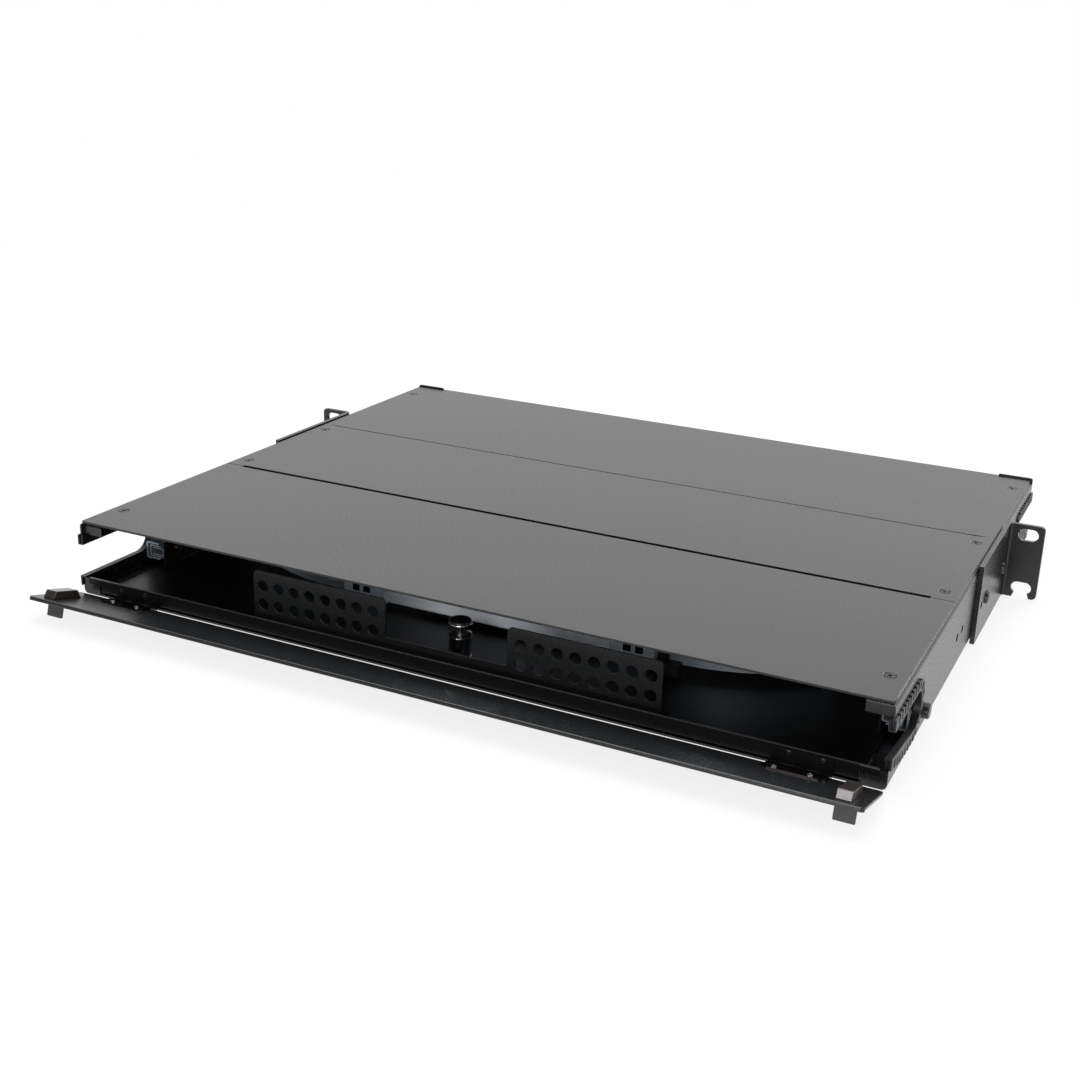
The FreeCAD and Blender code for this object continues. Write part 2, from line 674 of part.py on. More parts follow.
def slide_inner():
    reach = SLIDE_HEIGHT / 2 - SLIDE_SHEET - SLIDE_TRACK_GAP * 2 - MIDDLE_SHEET
    low = SLIDE_CENTRE_Z - reach
    high = SLIDE_CENTRE_Z + reach
    web = TRAY_SIDE_HALF
    path = [(web + INNER_FLANGE, high), (web, high), (web, low), (web + INNER_FLANGE, low)]
    member = bent_sheet("y", SLIDE_FRONT, SLIDE_LENGTH, path, MIDDLE_SHEET, MIDDLE_SHEET / 2)
    radius = RIVET / 2 + SEAT_GAP
    holes = [rod(radius, vec(web - 1, y, SLIDE_CENTRE_Z), X_AXIS, MIDDLE_SHEET + 2) for y in RIVETS_Y]
    return member.cut(holes)


def slide_spacers():
    rings = []
    for y in SLIDE_SCREWS_Y:
        start = vec(slide_web(), y, SLIDE_CENTRE_Z)
        ring = rod(SLIDE_SCREW, start, X_AXIS, SLIDE_SPACER)
        rings.append(ring.cut(rod(SLIDE_SCREW / 2 + SEAT_GAP, start, X_AXIS, SLIDE_SPACER)))
    return both_sides(Part.makeCompound(rings))


def slide_screws():
    screws = []
    for y in SLIDE_SCREWS_Y:
        face = vec(HALF, y, SLIDE_CENTRE_Z)
        head = rod(SLIDE_SCREW_HEAD / 2, face, X_AXIS, SLIDE_SCREW_RISE)
        rim = [edge for edge in head.Edges if edge.BoundBox.XMin > HALF + SLIDE_SCREW_RISE - 0.1]
        head = head.makeChamfer(HEAD_CHAMFER, rim[:1])
        inner = slide_web() - SLIDE_SHEET
        shaft = rod(SLIDE_SCREW / 2, vec(inner, y, SLIDE_CENTRE_Z), X_AXIS, HALF - inner)
        screws.append(joined([head, shaft]))
    return both_sides(Part.makeCompound(screws))


def slide_rivets():
    rivets = []
    inner = TRAY_SIDE_HALF - TRAY_SHEET
    for y in RIVETS_Y:
        head = rod(RIVET_HEAD / 2, vec(inner - RIVET_HEAD_RISE, y, SLIDE_CENTRE_Z), X_AXIS, RIVET_HEAD_RISE)
        shaft = rod(RIVET / 2, vec(inner, y, SLIDE_CENTRE_Z), X_AXIS, TRAY_SHEET + MIDDLE_SHEET)
        rivets.append(joined([head, shaft]))
    return both_sides(Part.makeCompound(rivets))


# Pan head screws that stand on a seat above the tray floor
def floor_screw(x, y, seat):
    head = rod(FLOOR_HEAD / 2, vec(x, y, seat), Z_AXIS, FLOOR_HEAD_RISE)
    rim = [edge for edge in head.Edges if edge.BoundBox.ZMin > seat + FLOOR_HEAD_RISE - 0.1]
    head = head.makeChamfer(HEAD_CHAMFER, rim[:1])
    tip = TRAY_BOTTOM + SEAT_GAP
    return joined([head, rod(FLOOR_SCREW / 2, vec(x, y, tip), Z_AXIS, seat - tip)])


def screw_holes(places, bottom, top):
    return [rod(FLOOR_SCREW / 2 + SEAT_GAP, vec(x, y, bottom), Z_AXIS, top - bottom) for x, y in places]


def bar_screw_places():
    return [(x, BAR_FACE + BAR_SHEET + BAR_FOOT / 2) for x in BAR_SCREWS_X]


def rail_screw_places():
    y = RAIL_FACE + RAIL_SHEET + RAIL_FOOT / 2
    return [(-STANDOFF_X, y), (STANDOFF_X, y)]


def block_screw_places():
    x = RAIL_HALF + BLOCK_SCREW
    y = BLOCK_FACE + BLOCK_DEPTH / 2
    return [(-x, y), (x, y)]


def frame_screw_places():
    return [(x, FRAME_FACE + FRAME_SHEET + FRAME_FOOT / 2) for x in FRAME_SCREWS_X]


def spool_screw_places():
    step = SPOOL_RADIUS - SPOOL_FINGER / 2 - SPOOL_WALL
    return [(side * SPOOL_X + turn * step, SPOOL_Y) for side in (-1, 1) for turn in (-1, 1)]


def guide_point(heading, inset):
    centre_x, centre_y = GUIDE_CENTRE
    angle = math.radians(heading)
    radius = GUIDE_RADIUS - inset
    return centre_x + radius * math.sin(angle), centre_y - radius * math.cos(angle)


def guide_screw_places():
    x, y = guide_point(GUIDE_END - GUIDE_LEG / 2, GUIDE_FOOT - FLOOR_HEAD / 2)
    return [(x, y), (-x, y)]


# The right clamp stands in front of its guide, the left one behind
def clamp_front():
    return GUIDE_CENTRE[1] - GUIDE_RADIUS - CLAMP_GAP - CLAMP_DEPTH


def to_left_clamp(shape):
    middle = vec(0, GUIDE_CENTRE[1] - GUIDE_RADIUS + GUIDE_SHEET / 2, 0)
    return mirrored(shape).mirror(middle, Y_AXIS)


def thumb_screw_places():
    y = clamp_front() + CLAMP_DEPTH / 2
    rear = 2 * (GUIDE_CENTRE[1] - GUIDE_RADIUS) + GUIDE_SHEET - y
    return [(THUMB_SCREW_X, y), (-THUMB_SCREW_X, rear)]


# Tray that slides out of the housing
def lip_hem():
    ear = HALF - LOW_RETURN_POST - LIP_EAR_GAP
    low = LOW_RETURN_STEP + LIP_EAR_GAP
    high = TRAY_LIP_TOP
    back = TRAY_SHEET + LIP_HEM
    section = [(0, low), (back, low), (back, high), (0, high)]
    return prism("x", -ear, ear * 2, section, [0, 0, LIP_HEM, LIP_HEM / 2])


def tray():
    lip_half = TRAY_LIP_WIDTH / 2
    long_path = [(0, TRAY_LIP_TOP), (0, TRAY_BOTTOM), (TRAY_REAR, TRAY_BOTTOM), (TRAY_REAR, TRAY_REAR_LIP)]
    pan = bent_sheet("x", -lip_half, TRAY_LIP_WIDTH, long_path, TRAY_SHEET, TRAY_BEND - TRAY_SHEET)
    strip = box(TRAY_SIDE_HALF, lip_half + 1, SLIDE_FRONT, TRAY_REAR + 1, 0, TRAY_SIDE_TOP)
    pan = pan.cut([strip, mirrored(strip)])
    side_path = [(-TRAY_SIDE_HALF, TRAY_SIDE_TOP), (-TRAY_SIDE_HALF, TRAY_BOTTOM),
                 (TRAY_SIDE_HALF, TRAY_BOTTOM), (TRAY_SIDE_HALF, TRAY_SIDE_TOP)]
    sides = bent_sheet("y", SLIDE_FRONT, TRAY_REAR - SLIDE_FRONT - TRAY_BEND, side_path,
                       TRAY_SHEET, TRAY_BEND - TRAY_SHEET)
    pan = joined([pan, sides, lip_hem()])
    places = (bar_screw_places() + rail_screw_places() + block_screw_places() + frame_screw_places()
              + spool_screw_places() + guide_screw_places() + thumb_screw_places())
    cuts = screw_holes(places, 0, TRAY_FLOOR + 1)
    cuts.append(rod(BARREL_SPIGOT / 2 + SEAT_GAP, vec(0, PLUNGER_Y, 0), Z_AXIS, TRAY_FLOOR + 1))
    for y in RIVETS_Y:
        start = vec(-TRAY_SIDE_HALF - 1, y, SLIDE_CENTRE_Z)
        cuts.append(rod(RIVET / 2 + SEAT_GAP, start, X_AXIS, TRAY_SIDE_HALF * 2 + 2))
    for x in LIP_LEAF_SCREWS:
        for side in (-1, 1):
            start = vec(side * x, -1, LIP_LEAF_SCREW_Z)
            cuts.append(rod(SMALL_SCREW / 2 + SEAT_GAP, start, Y_AXIS, TRAY_SHEET + LIP_HEM + 2))
    return pan.cut(cuts)


# Perforated bar for cable ties
def cable_bar():
    path = [(BAR_FACE, BAR_TOP), (BAR_FACE, TRAY_FLOOR), (BAR_FACE + BAR_SHEET + BAR_FOOT, TRAY_FLOOR)]
    bar = bent_sheet("x", -BAR_HALF, BAR_HALF * 2, path, BAR_SHEET, SMALL_BEND - BAR_SHEET / 2)
    wing = BAR_WINDOW_HALF
    front = [(-BAR_HALF, TRAY_FLOOR), (BAR_HALF, TRAY_FLOOR), (BAR_HALF, BAR_TOP), (wing, BAR_TOP),
             (wing, BAR_STRIP_TOP), (-wing, BAR_STRIP_TOP), (-wing, BAR_TOP), (-BAR_HALF, BAR_TOP)]
    corner = BAR_CORNER
    bar = bar.common(prism("y", BAR_FACE - 1, BAR_FOOT + BAR_SHEET + 2, front,
                           [0, 0, corner, corner, 1, 1, corner, corner]))
    holes = screw_holes(bar_screw_places(), TRAY_FLOOR - 1, TRAY_FLOOR + BAR_SHEET + 1)
    for column in range(BAR_COLUMNS):
        for z in BAR_ROWS_Z:
            for side in (-1, 1):
                x = side * (BAR_FIRST_HOLE + column * BAR_PITCH)
                holes.append(rod(BAR_HOLE / 2, vec(x, BAR_FACE - 1, z), Y_AXIS, BAR_SHEET + 2))
    return bar.cut(holes)


def cable_bar_screws():
    return Part.makeCompound([floor_screw(x, y, TRAY_FLOOR + BAR_SHEET) for x, y in bar_screw_places()])


# Plunger that locks the tray to the housing floor
def plunger_rod(radius, bottom, top):
    return rod(radius, vec(0, PLUNGER_Y, bottom), Z_AXIS, top - bottom)


def bore_bottom():
    return TRAY_FLOOR + BARREL_RIM


def bore_top():
    return BARREL_TOP - BARREL_RIM - PIN_FIT * 5


def plunger_barrel():
    waist = BARREL / 2 - BARREL_RIM / 3
    body = joined([
        plunger_rod(BARREL_SPIGOT / 2, TRAY_BOTTOM + SEAT_GAP, TRAY_FLOOR),
        plunger_rod(BARREL / 2, TRAY_FLOOR, TRAY_FLOOR + BARREL_RIM),
        plunger_rod(waist, TRAY_FLOOR + BARREL_RIM, BARREL_TOP - BARREL_RIM),
        plunger_rod(BARREL / 2, BARREL_TOP - BARREL_RIM, BARREL_TOP)])
    return body.cut([plunger_rod(BARREL_BORE / 2, bore_bottom(), bore_top()),
                     plunger_rod(PIN / 2 + PIN_FIT, 0, BARREL_TOP + 1)])


def plunger_shaft():
    collar = bore_bottom() + SEAT_GAP
    return joined([
        plunger_rod(PIN / 2, SHEET + SEAT_GAP, KNOB_BOTTOM),
        plunger_rod(COLLAR / 2, collar, collar + COLLAR_HEIGHT),
        plunger_rod(KNOB / 2, KNOB_BOTTOM, KNOB_BOTTOM + KNOB_DISC)])


def plunger_cap():
    bottom = KNOB_BOTTOM + KNOB_DISC
    cap = plunger_rod(KNOB / 2 - SEAT_GAP * 2, bottom, bottom + KNOB_CAP)
    rim = [edge for edge in cap.Edges if edge.BoundBox.ZMin > bottom + KNOB_CAP - 0.1]
    return cap.makeFillet(KNOB_CAP / 2, rim[:1])


def plunger_spring():
    bottom = bore_bottom() + COLLAR_HEIGHT + SEAT_GAP * 2
    top = bore_top() - SEAT_GAP
    sleeve = plunger_rod(SPRING_RADIUS, bottom, top)
    return sleeve.cut(plunger_rod(SPRING_RADIUS - SPRING_WIRE, bottom, top))


# Cross rail and the pieces beside it
def crossbar():
    back = RAIL_FACE + RAIL_SHEET + RAIL_FOOT
    path = [(back, RAIL_TOP), (RAIL_FACE, RAIL_TOP), (RAIL_FACE, RAIL_BOTTOM), (back, RAIL_BOTTOM)]
    half = RAIL_HALF - SEAT_GAP
    rail = bent_sheet("x", -half, half * 2, path, RAIL_SHEET, SMALL_BEND - RAIL_SHEET / 2)
    holes = screw_holes(rail_screw_places(), RAIL_BOTTOM - 1, RAIL_BOTTOM + RAIL_SHEET + 1)
    return rail.cut(holes)


def crossbar_standoffs():
    posts = []
    for x, y in rail_screw_places():
        post = rod(STANDOFF / 2, vec(x, y, TRAY_FLOOR), Z_AXIS, RAIL_BOTTOM - TRAY_FLOOR)
        posts.append(post.cut(screw_holes([(x, y)], TRAY_FLOOR, RAIL_BOTTOM)))
    return Part.makeCompound(posts)


def anchor_block():
    inner = RAIL_HALF
    outer = RAIL_HALF + BLOCK_WIDTH
    back = BLOCK_FACE + BLOCK_DEPTH
    plan = [(inner, BLOCK_FACE), (outer, BLOCK_FACE), (outer, back), (inner, back)]
    body = prism("z", BLOCK_BOTTOM, BLOCK_TOP - BLOCK_BOTTOM, plan, [0, 1, 1, 0])
    foot = box(inner + 1, inner + 1 + BLOCK_FOOT, BLOCK_FACE + 2, back - 1, TRAY_FLOOR, BLOCK_BOTTOM)
    body = joined([body, foot])
    half = BLOCK_WINDOW / 2
    cuts = []
    for i in range(2):
        x = inner + BLOCK_WINDOW_FIRST + i * BLOCK_WINDOW_PITCH
        low = BLOCK_WINDOW_Z - half
        high = BLOCK_WINDOW_Z + half
        cuts.append(box(x - half, x + half, BLOCK_FACE - 1, back + 1, low, high))
    x, y = block_screw_places()[1]
    cuts += screw_holes([(x, y)], 0, BLOCK_TOP + 1)
    return body.cut(cuts)


def ring_sector(first, last, outer_inset, inner_inset, bottom, height):
    middle = (first + last) / 2
    outer = [in_space("z", bottom, guide_point(heading, outer_inset)) for heading in (first, middle, last)]
    inner = [in_space("z", bottom, guide_point(heading, inner_inset)) for heading in (last, middle, first)]
    edges = [Part.Arc(*outer).toShape(), Part.LineSegment(outer[2], inner[0]).toShape(),
             Part.Arc(*inner).toShape(), Part.LineSegment(inner[2], outer[0]).toShape()]
    return Part.Face(Part.Wire(edges)).extrude(vec(0, 0, height))


def guide_tongue(gap):
    first, last = GUIDE_TONGUE
    front = clamp_front() + TONGUE_INSET - gap
    back = GUIDE_CENTRE[1] - GUIDE_RADIUS + GUIDE_SHEET / 2
    top = TRAY_FLOOR + RAIL_SHEET + gap
    return box(first - gap, last + gap, front, back, TRAY_FLOOR, top)


def bend_guide(first):
    last = GUIDE_END
    wall = ring_sector(first, last, 0, GUIDE_SHEET, GUIDE_BOTTOM, GUIDE_TOP - GUIDE_BOTTOM)
    front_leg = ring_sector(first, first + GUIDE_LEG, 0, GUIDE_SHEET, TRAY_FLOOR, GUIDE_BOTTOM - TRAY_FLOOR)
    rear_leg = ring_sector(last - GUIDE_LEG, last, 0, GUIDE_SHEET, TRAY_FLOOR, GUIDE_BOTTOM - TRAY_FLOOR)
    rear_foot = ring_sector(last - GUIDE_LEG, last, 0, GUIDE_FOOT, TRAY_FLOOR, RAIL_SHEET)
    return joined([wall, front_leg, rear_leg, rear_foot]).cut(floor_holes([guide_screw_places()[0]]))


def floor_holes(places):
    return screw_holes(places, TRAY_FLOOR - 1, TRAY_FLOOR + RAIL_SHEET + 1)


def right_guide():
    tongue = guide_tongue(0).cut(floor_holes(thumb_screw_places()[:1]))
    return joined([bend_guide(GUIDE_START_RIGHT), tongue])


def left_guide():
    tongue = guide_tongue(0).cut(floor_holes(thumb_screw_places()[:1]))
    return joined([mirrored(bend_guide(GUIDE_START_LEFT)), to_left_clamp(tongue)])


def thumb_screws():
    x, y = thumb_screw_places()[0]
    front = clamp_front()
    clamp = box(*CLAMP_X, front, front + CLAMP_DEPTH, TRAY_FLOOR, CLAMP_TOP).cut(guide_tongue(SEAT_GAP))
    clamp = clamp.cut(rod(FLOOR_SCREW / 2 + SEAT_GAP, vec(x, y, 0), Z_AXIS, CLAMP_TOP + 1))
    knob = rod(THUMB_SCREW / 2, vec(x, y, CLAMP_TOP), Z_AXIS, THUMB_SCREW_HEIGHT)
    notches = []
    for i in range(THUMB_TEETH):
        angle = 2 * math.pi * i / THUMB_TEETH
        tooth_x = x + math.cos(angle) * THUMB_SCREW / 2
        tooth_y = y + math.sin(angle) * THUMB_SCREW / 2
        place = vec(tooth_x, tooth_y, CLAMP_TOP + TOOTH_CUT)
        notch = box(-TOOTH_CUT / 2, TOOTH_CUT / 2, -TOOTH_CUT / 2, TOOTH_CUT / 2, 0, THUMB_SCREW_HEIGHT)
        notch.rotate(vec(0, 0, 0), Z_AXIS, math.degrees(angle))
        notch.translate(place)
        notches.append(notch)
    knob = knob.cut(notches)
    tip = TRAY_BOTTOM + SEAT_GAP
    shaft = rod(FLOOR_SCREW / 2, vec(x, y, tip), Z_AXIS, CLAMP_TOP - tip)
    pair = Part.makeCompound([clamp, joined([knob, shaft])])
    return Part.makeCompound([pair, to_left_clamp(pair)])


# Round-topped stud behind the plunger
def floor_stud():
    x, y = STUD_PLACE
    stud = rod(STUD / 2, vec(x, y, TRAY_FLOOR), Z_AXIS, STUD_TOP - TRAY_FLOOR)
    rim = [edge for edge in stud.Edges if edge.BoundBox.ZMin > STUD_TOP - 0.1]
    return stud.makeFillet(STUD / 3, rim[:1])


def deck_screws():
    screws = [floor_screw(x, y, RAIL_BOTTOM + RAIL_SHEET) for x, y in rail_screw_places()]
    screws += [floor_screw(x, y, BLOCK_TOP) for x, y in block_screw_places()]
    screws += [floor_screw(x, y, TRAY_FLOOR + RAIL_SHEET) for x, y in guide_screw_places()]
    return Part.makeCompound(screws + [floor_stud()])


# Frame with the openings for adapter plates
def adapter_frame():
    back = FRAME_FACE + FRAME_SHEET + FRAME_FOOT
    path = [(FRAME_FACE, FRAME_TOP), (FRAME_FACE, TRAY_FLOOR), (back, TRAY_FLOOR)]
    frame = bent_sheet("x", -FRAME_HALF, FRAME_HALF * 2, path, FRAME_SHEET, SMALL_BEND / 2)
    cuts = screw_holes(frame_screw_places(), TRAY_FLOOR - 1, TRAY_FLOOR + FRAME_SHEET + 1)
    width = PLATE_WINDOW_WIDTH
    height = PLATE_WINDOW_HEIGHT
    for step in (-1, 0, 1):
        x = step * PLATE_PITCH
        corners = [(x - width / 2, PLATE_CENTRE_Z - height / 2), (x + width / 2, PLATE_CENTRE_Z - height / 2),
                   (x + width / 2, PLATE_CENTRE_Z + height / 2), (x - width / 2, PLATE_CENTRE_Z + height / 2)]
        cuts.append(prism("y", FRAME_FACE - 1, FRAME_SHEET + 2, corners, [2] * 4))
        for side in (-1, 1):
            start = vec(x + side * RIVET_PITCH / 2, FRAME_FACE - 1, PLATE_CENTRE_Z)
            cuts.append(rod(RIVET_HOLE / 2, start, Y_AXIS, FRAME_SHEET + 2))
    return frame.cut(cuts)


def frame_screws():
    screws = [floor_screw(x, y, TRAY_FLOOR + FRAME_SHEET) for x, y in frame_screw_places()]
    screws += [floor_screw(x, y, TRAY_FLOOR + SPOOL_WALL) for x, y in spool_screw_places()]
    return Part.makeCompound(screws)


# Spool that keeps the slack fibre in wide loops
def slack_spool():
    centre = vec(SPOOL_X, SPOOL_Y, TRAY_FLOOR)
    top = TRAY_FLOOR + SPOOL_HEIGHT
    wall = rod(SPOOL_RADIUS, centre, Z_AXIS, SPOOL_HEIGHT)
    wall = wall.cut(rod(SPOOL_RADIUS - SPOOL_WALL, centre.add(vec(0, 0, SPOOL_WALL)), Z_AXIS, SPOOL_HEIGHT))
    wall = wall.cut(rod(SPOOL_RADIUS - SPOOL_FINGER - SPOOL_WALL * 2, centre, Z_AXIS, SPOOL_HEIGHT))
    fingers = []
    for i in range(SPOOL_FINGERS):
        half = SPOOL_FINGER_WIDTH / 2
        reach = SPOOL_RADIUS + SPOOL_FINGER
        root = SPOOL_RADIUS - SPOOL_WALL / 2
        plan = [(root, -half), (reach, -half), (reach, half), (root, half)]
        finger = prism("z", top - SPOOL_WALL, SPOOL_WALL, plan, [0, 3, 3, 0])
        finger.rotate(vec(0, 0, 0), Z_AXIS, 45 + i * 360 / SPOOL_FINGERS)
        finger.translate(vec(SPOOL_X, SPOOL_Y, 0))
        fingers.append(finger)
    spool = joined([wall] + fingers)
    return spool.cut(screw_holes(spool_screw_places()[2:], 0, TRAY_FLOOR + SPOOL_WALL + 1))


# Door pieces are drawn level: A runs from the hinge axis to the front, N up from the axis
def door_point(a, n):
    return HINGE_Y - a, HINGE_Z + n


def opened(shape):
    turned = shape.copy()
    turned.rotate(vec(0, HINGE_Y, HINGE_Z), X_AXIS, -DOOR_ANGLE)
    return turned


def door_prism(x0, x1, points, radii=None):
    return prism("x", x0, x1 - x0, [door_point(a, n) for a, n in points], radii)


def door_hole(x, a, radius):
    y, z = door_point(a, -DOOR_SHEET * 3)
    return rod(radius, vec(x, y, z), Z_AXIS, DOOR_SHEET * 6)


def door_screw_places():
    return [(x, DOOR_LEAF_SCREW_REACH) for x in DOOR_LEAF_SCREWS]


def front_door():
    outer = DOOR_SKIN - DOOR_SHEET
    hem = outer - DOOR_HEM_DROP
    section = [(DOOR_FOOT, outer), (DOOR_FOOT, DOOR_SKIN), (DOOR_REACH, DOOR_SKIN), (DOOR_REACH, hem),
               (DOOR_REACH - DOOR_HEM, hem), (DOOR_REACH - DOOR_HEM, outer)]
    panel = door_prism(-HALF, HALF, section, [0, 0, DOOR_HEM_DROP, DOOR_HEM_DROP / 2, 0, 0])
    front = HINGE_Y - DOOR_REACH
    back = HINGE_Y - DOOR_FOOT
    plan = [(-HALF, front), (HALF, front), (HALF, back), (-HALF, back)]
    panel = panel.common(prism("z", -BEND, BEND * 3, plan, [DOOR_CORNER] * 4))
    cuts = [latch_stem(SEAT_GAP)]
    cuts += [door_hole(x, a, SMALL_SCREW / 2 + SEAT_GAP) for x, a in door_screw_places()]
    cuts += [mirrored(cut) for cut in cuts]
    return opened(panel.cut(cuts))


def latch_stem(gap):
    x0, x1 = LATCH_TAB_X
    middle = (x0 + x1) / 2
    half = LATCH_STEM / 2 + gap
    a = LATCH_TAB_AT
    section = [(a - half, DOOR_SKIN - DOOR_SHEET), (a + half, DOOR_SKIN - DOOR_SHEET),
               (a + half, DOOR_SKIN), (a - half, DOOR_SKIN)]
    return door_prism(middle - half, middle + half, section)


def latch():
    bottom, top = LATCH_BASE, LATCH_TOP
    high = DOOR_SKIN + LATCH_HEIGHT
    section = [(bottom[0], DOOR_SKIN), (bottom[1], DOOR_SKIN), (top[1], high), (top[0], high)]
    wedge = door_prism(*LATCH_X, section)
    outer = DOOR_SKIN - DOOR_SHEET
    half = LATCH_TAB_SHEET / 2
    low = outer - LATCH_TAB_REACH
    section = [(LATCH_TAB_AT - half, low), (LATCH_TAB_AT + half, low),
               (LATCH_TAB_AT + half, outer), (LATCH_TAB_AT - half, outer)]
    tab = door_prism(*LATCH_TAB_X, section, [half - SEAT_GAP, half - SEAT_GAP, 0, 0])
    return opened(joined([wedge, latch_stem(0), tab]))


# Butt hinges: the odd knuckles belong to the tray, the even ones to the door
def knuckle_spans(owner):
    length = HINGE_WIDTH / HINGE_KNUCKLES
    start = HINGE_CENTRE - HINGE_WIDTH / 2
    spans = []
    for i in range(owner, HINGE_KNUCKLES, 2):
        first = start + i * length + (HINGE_GAP / 2 if i > 0 else 0)
        last = start + (i + 1) * length - (HINGE_GAP / 2 if i < HINGE_KNUCKLES - 1 else 0)
        spans.append((first, last))
    return spans


def knuckle(first, last):
    return rod(HINGE_KNUCKLE / 2, vec(first, HINGE_Y, HINGE_Z), X_AXIS, last - first)


def pin_bore():
    start = vec(HINGE_CENTRE - HINGE_WIDTH, HINGE_Y, HINGE_Z)
    return rod(HINGE_PIN / 2 + HINGE_FIT, start, X_AXIS, HINGE_WIDTH * 2)


def lip_leaf():
    x0 = HINGE_CENTRE - HINGE_WIDTH / 2
    x1 = HINGE_CENTRE + HINGE_WIDTH / 2
    link_top = HINGE_Z + HINGE_KNUCKLE / 2
    link_bottom = link_top - HINGE_SHEET
    plate = [(x0, link_bottom), (x1, link_bottom), (x1, LIP_LEAF_TOP), (x0, LIP_LEAF_TOP)]
    pieces = [prism("y", -HINGE_SHEET, HINGE_SHEET, plate, [0, 0, 1, 1])]
    for first, last in knuckle_spans(0):
        pieces.append(box(first, last, HINGE_Y, 0, link_bottom, link_top))
        pieces.append(knuckle(first, last))
    leaf = joined(pieces)
    holes = [rod(SMALL_SCREW / 2 + SEAT_GAP, vec(x, -HINGE_SHEET * 2, LIP_LEAF_SCREW_Z), Y_AXIS, HINGE_SHEET * 3)
             for x in LIP_LEAF_SCREWS]
    return leaf.cut(holes + [pin_bore()])


def door_leaf():
    x0 = HINGE_CENTRE - HINGE_WIDTH / 2
    x1 = HINGE_CENTRE + HINGE_WIDTH / 2
    y_foot, low = door_point(DOOR_FOOT, DOOR_SKIN)
    y_tip = HINGE_Y - DOOR_LEAF_REACH
    plan = [(x0, y_tip), (x1, y_tip), (x1, y_foot), (x0, y_foot)]
    pieces = [prism("z", low, HINGE_SHEET, plan, [DOOR_LEAF_CHAMFER, DOOR_LEAF_CHAMFER, 0, 0])]
    for first, last in knuckle_spans(1):
        pieces.append(box(first, last, y_foot - 1, HINGE_Y, low, low + HINGE_SHEET))
        pieces.append(knuckle(first, last))
    leaf = joined(pieces)
    holes = [door_hole(x, a, SMALL_SCREW / 2 + SEAT_GAP) for x, a in door_screw_places()]
    return opened(leaf.cut(holes + [pin_bore()]))


def hinge_pin():
    start = vec(HINGE_CENTRE - HINGE_WIDTH / 2, HINGE_Y, HINGE_Z)
    return rod(HINGE_PIN / 2, start, X_AXIS, HINGE_WIDTH)


def lip_screws():
    screws = []
    for x in LIP_LEAF_SCREWS:
        face = -HINGE_SHEET
        head = rod(SMALL_HEAD / 2, vec(x, face - SMALL_HEAD_RISE, LIP_LEAF_SCREW_Z), Y_AXIS, SMALL_HEAD_RISE)
        shaft = rod(SMALL_SCREW / 2, vec(x, face, LIP_LEAF_SCREW_Z), Y_AXIS, HINGE_SHEET + TRAY_SHEET)
        screws.append(joined([head, shaft]))
    return both_sides(Part.makeCompound(screws))


def door_screws():
    screws = []
    for x, a in door_screw_places():
        y, seat = door_point(a, DOOR_SKIN + HINGE_SHEET)
        head = rod(SMALL_HEAD / 2, vec(x, y, seat), Z_AXIS, SMALL_HEAD_RISE)
        depth = HINGE_SHEET + DOOR_SHEET
        screws.append(joined([head, rod(SMALL_SCREW / 2, vec(x, y, seat - depth), Z_AXIS, depth)]))
    return opened(both_sides(Part.makeCompound(screws)))


def write_housing():
    save("chassis", chassis())
    save("front_cover", front_cover())
    save("middle_cover", middle_cover())
    save("rear_cover", rear_cover())
    save("cover_brace", cover_brace())
    save("cover_screws", cover_screws())
    edge = grommet()
    save_pair("edge_grommet_front", edge)
    save_pair("edge_grommet_rear", to_rear(edge))
    save_pair("rack_bracket", rack_bracket())
    save("bracket_screws", bracket_screws())


def write_slides():
    save_pair("slide_outer", slide_outer())
    save_pair("slide_middle", slide_middle())
    save_pair("slide_inner", slide_inner())
    save("slide_spacers", slide_spacers())
    save("slide_screws", slide_screws())
    save("slide_rivets", slide_rivets())


def write_tray():
    save("tray", tray())
    save("cable_bar", cable_bar())
    save("cable_bar_screws", cable_bar_screws())
    save("plunger_barrel", plunger_barrel())
    save("plunger_shaft", plunger_shaft())
    save("plunger_cap", plunger_cap())
    save("plunger_spring", plunger_spring())
    save("crossbar", crossbar())
    save("crossbar_standoffs", crossbar_standoffs())
    save_pair("anchor_block", anchor_block())
    save("bend_guide_right", right_guide())
    save("bend_guide_left", left_guide())
    save("thumb_screws", thumb_screws())
    save("deck_screws", deck_screws())
    save("adapter_frame", adapter_frame())
    save("frame_screws", frame_screws())
    save_pair("slack_spool", slack_spool())


def write_door():
    save("front_door", front_door())
    save_pair("latch", latch())
    save_pair("hinge_lip_leaf", lip_leaf())
    save_pair("hinge_door_leaf", door_leaf())
    save_pair("hinge_pin", hinge_pin())
    save("lip_screws", lip_screws())
    save("door_screws", door_screws())


os.makedirs("parts", exist_ok=True)
write_housing()
write_slides()
write_tray()
write_door()
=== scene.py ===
import json
from math import cos, pi, radians, sin

import bmesh
import bpy
from mathutils import Matrix, Vector


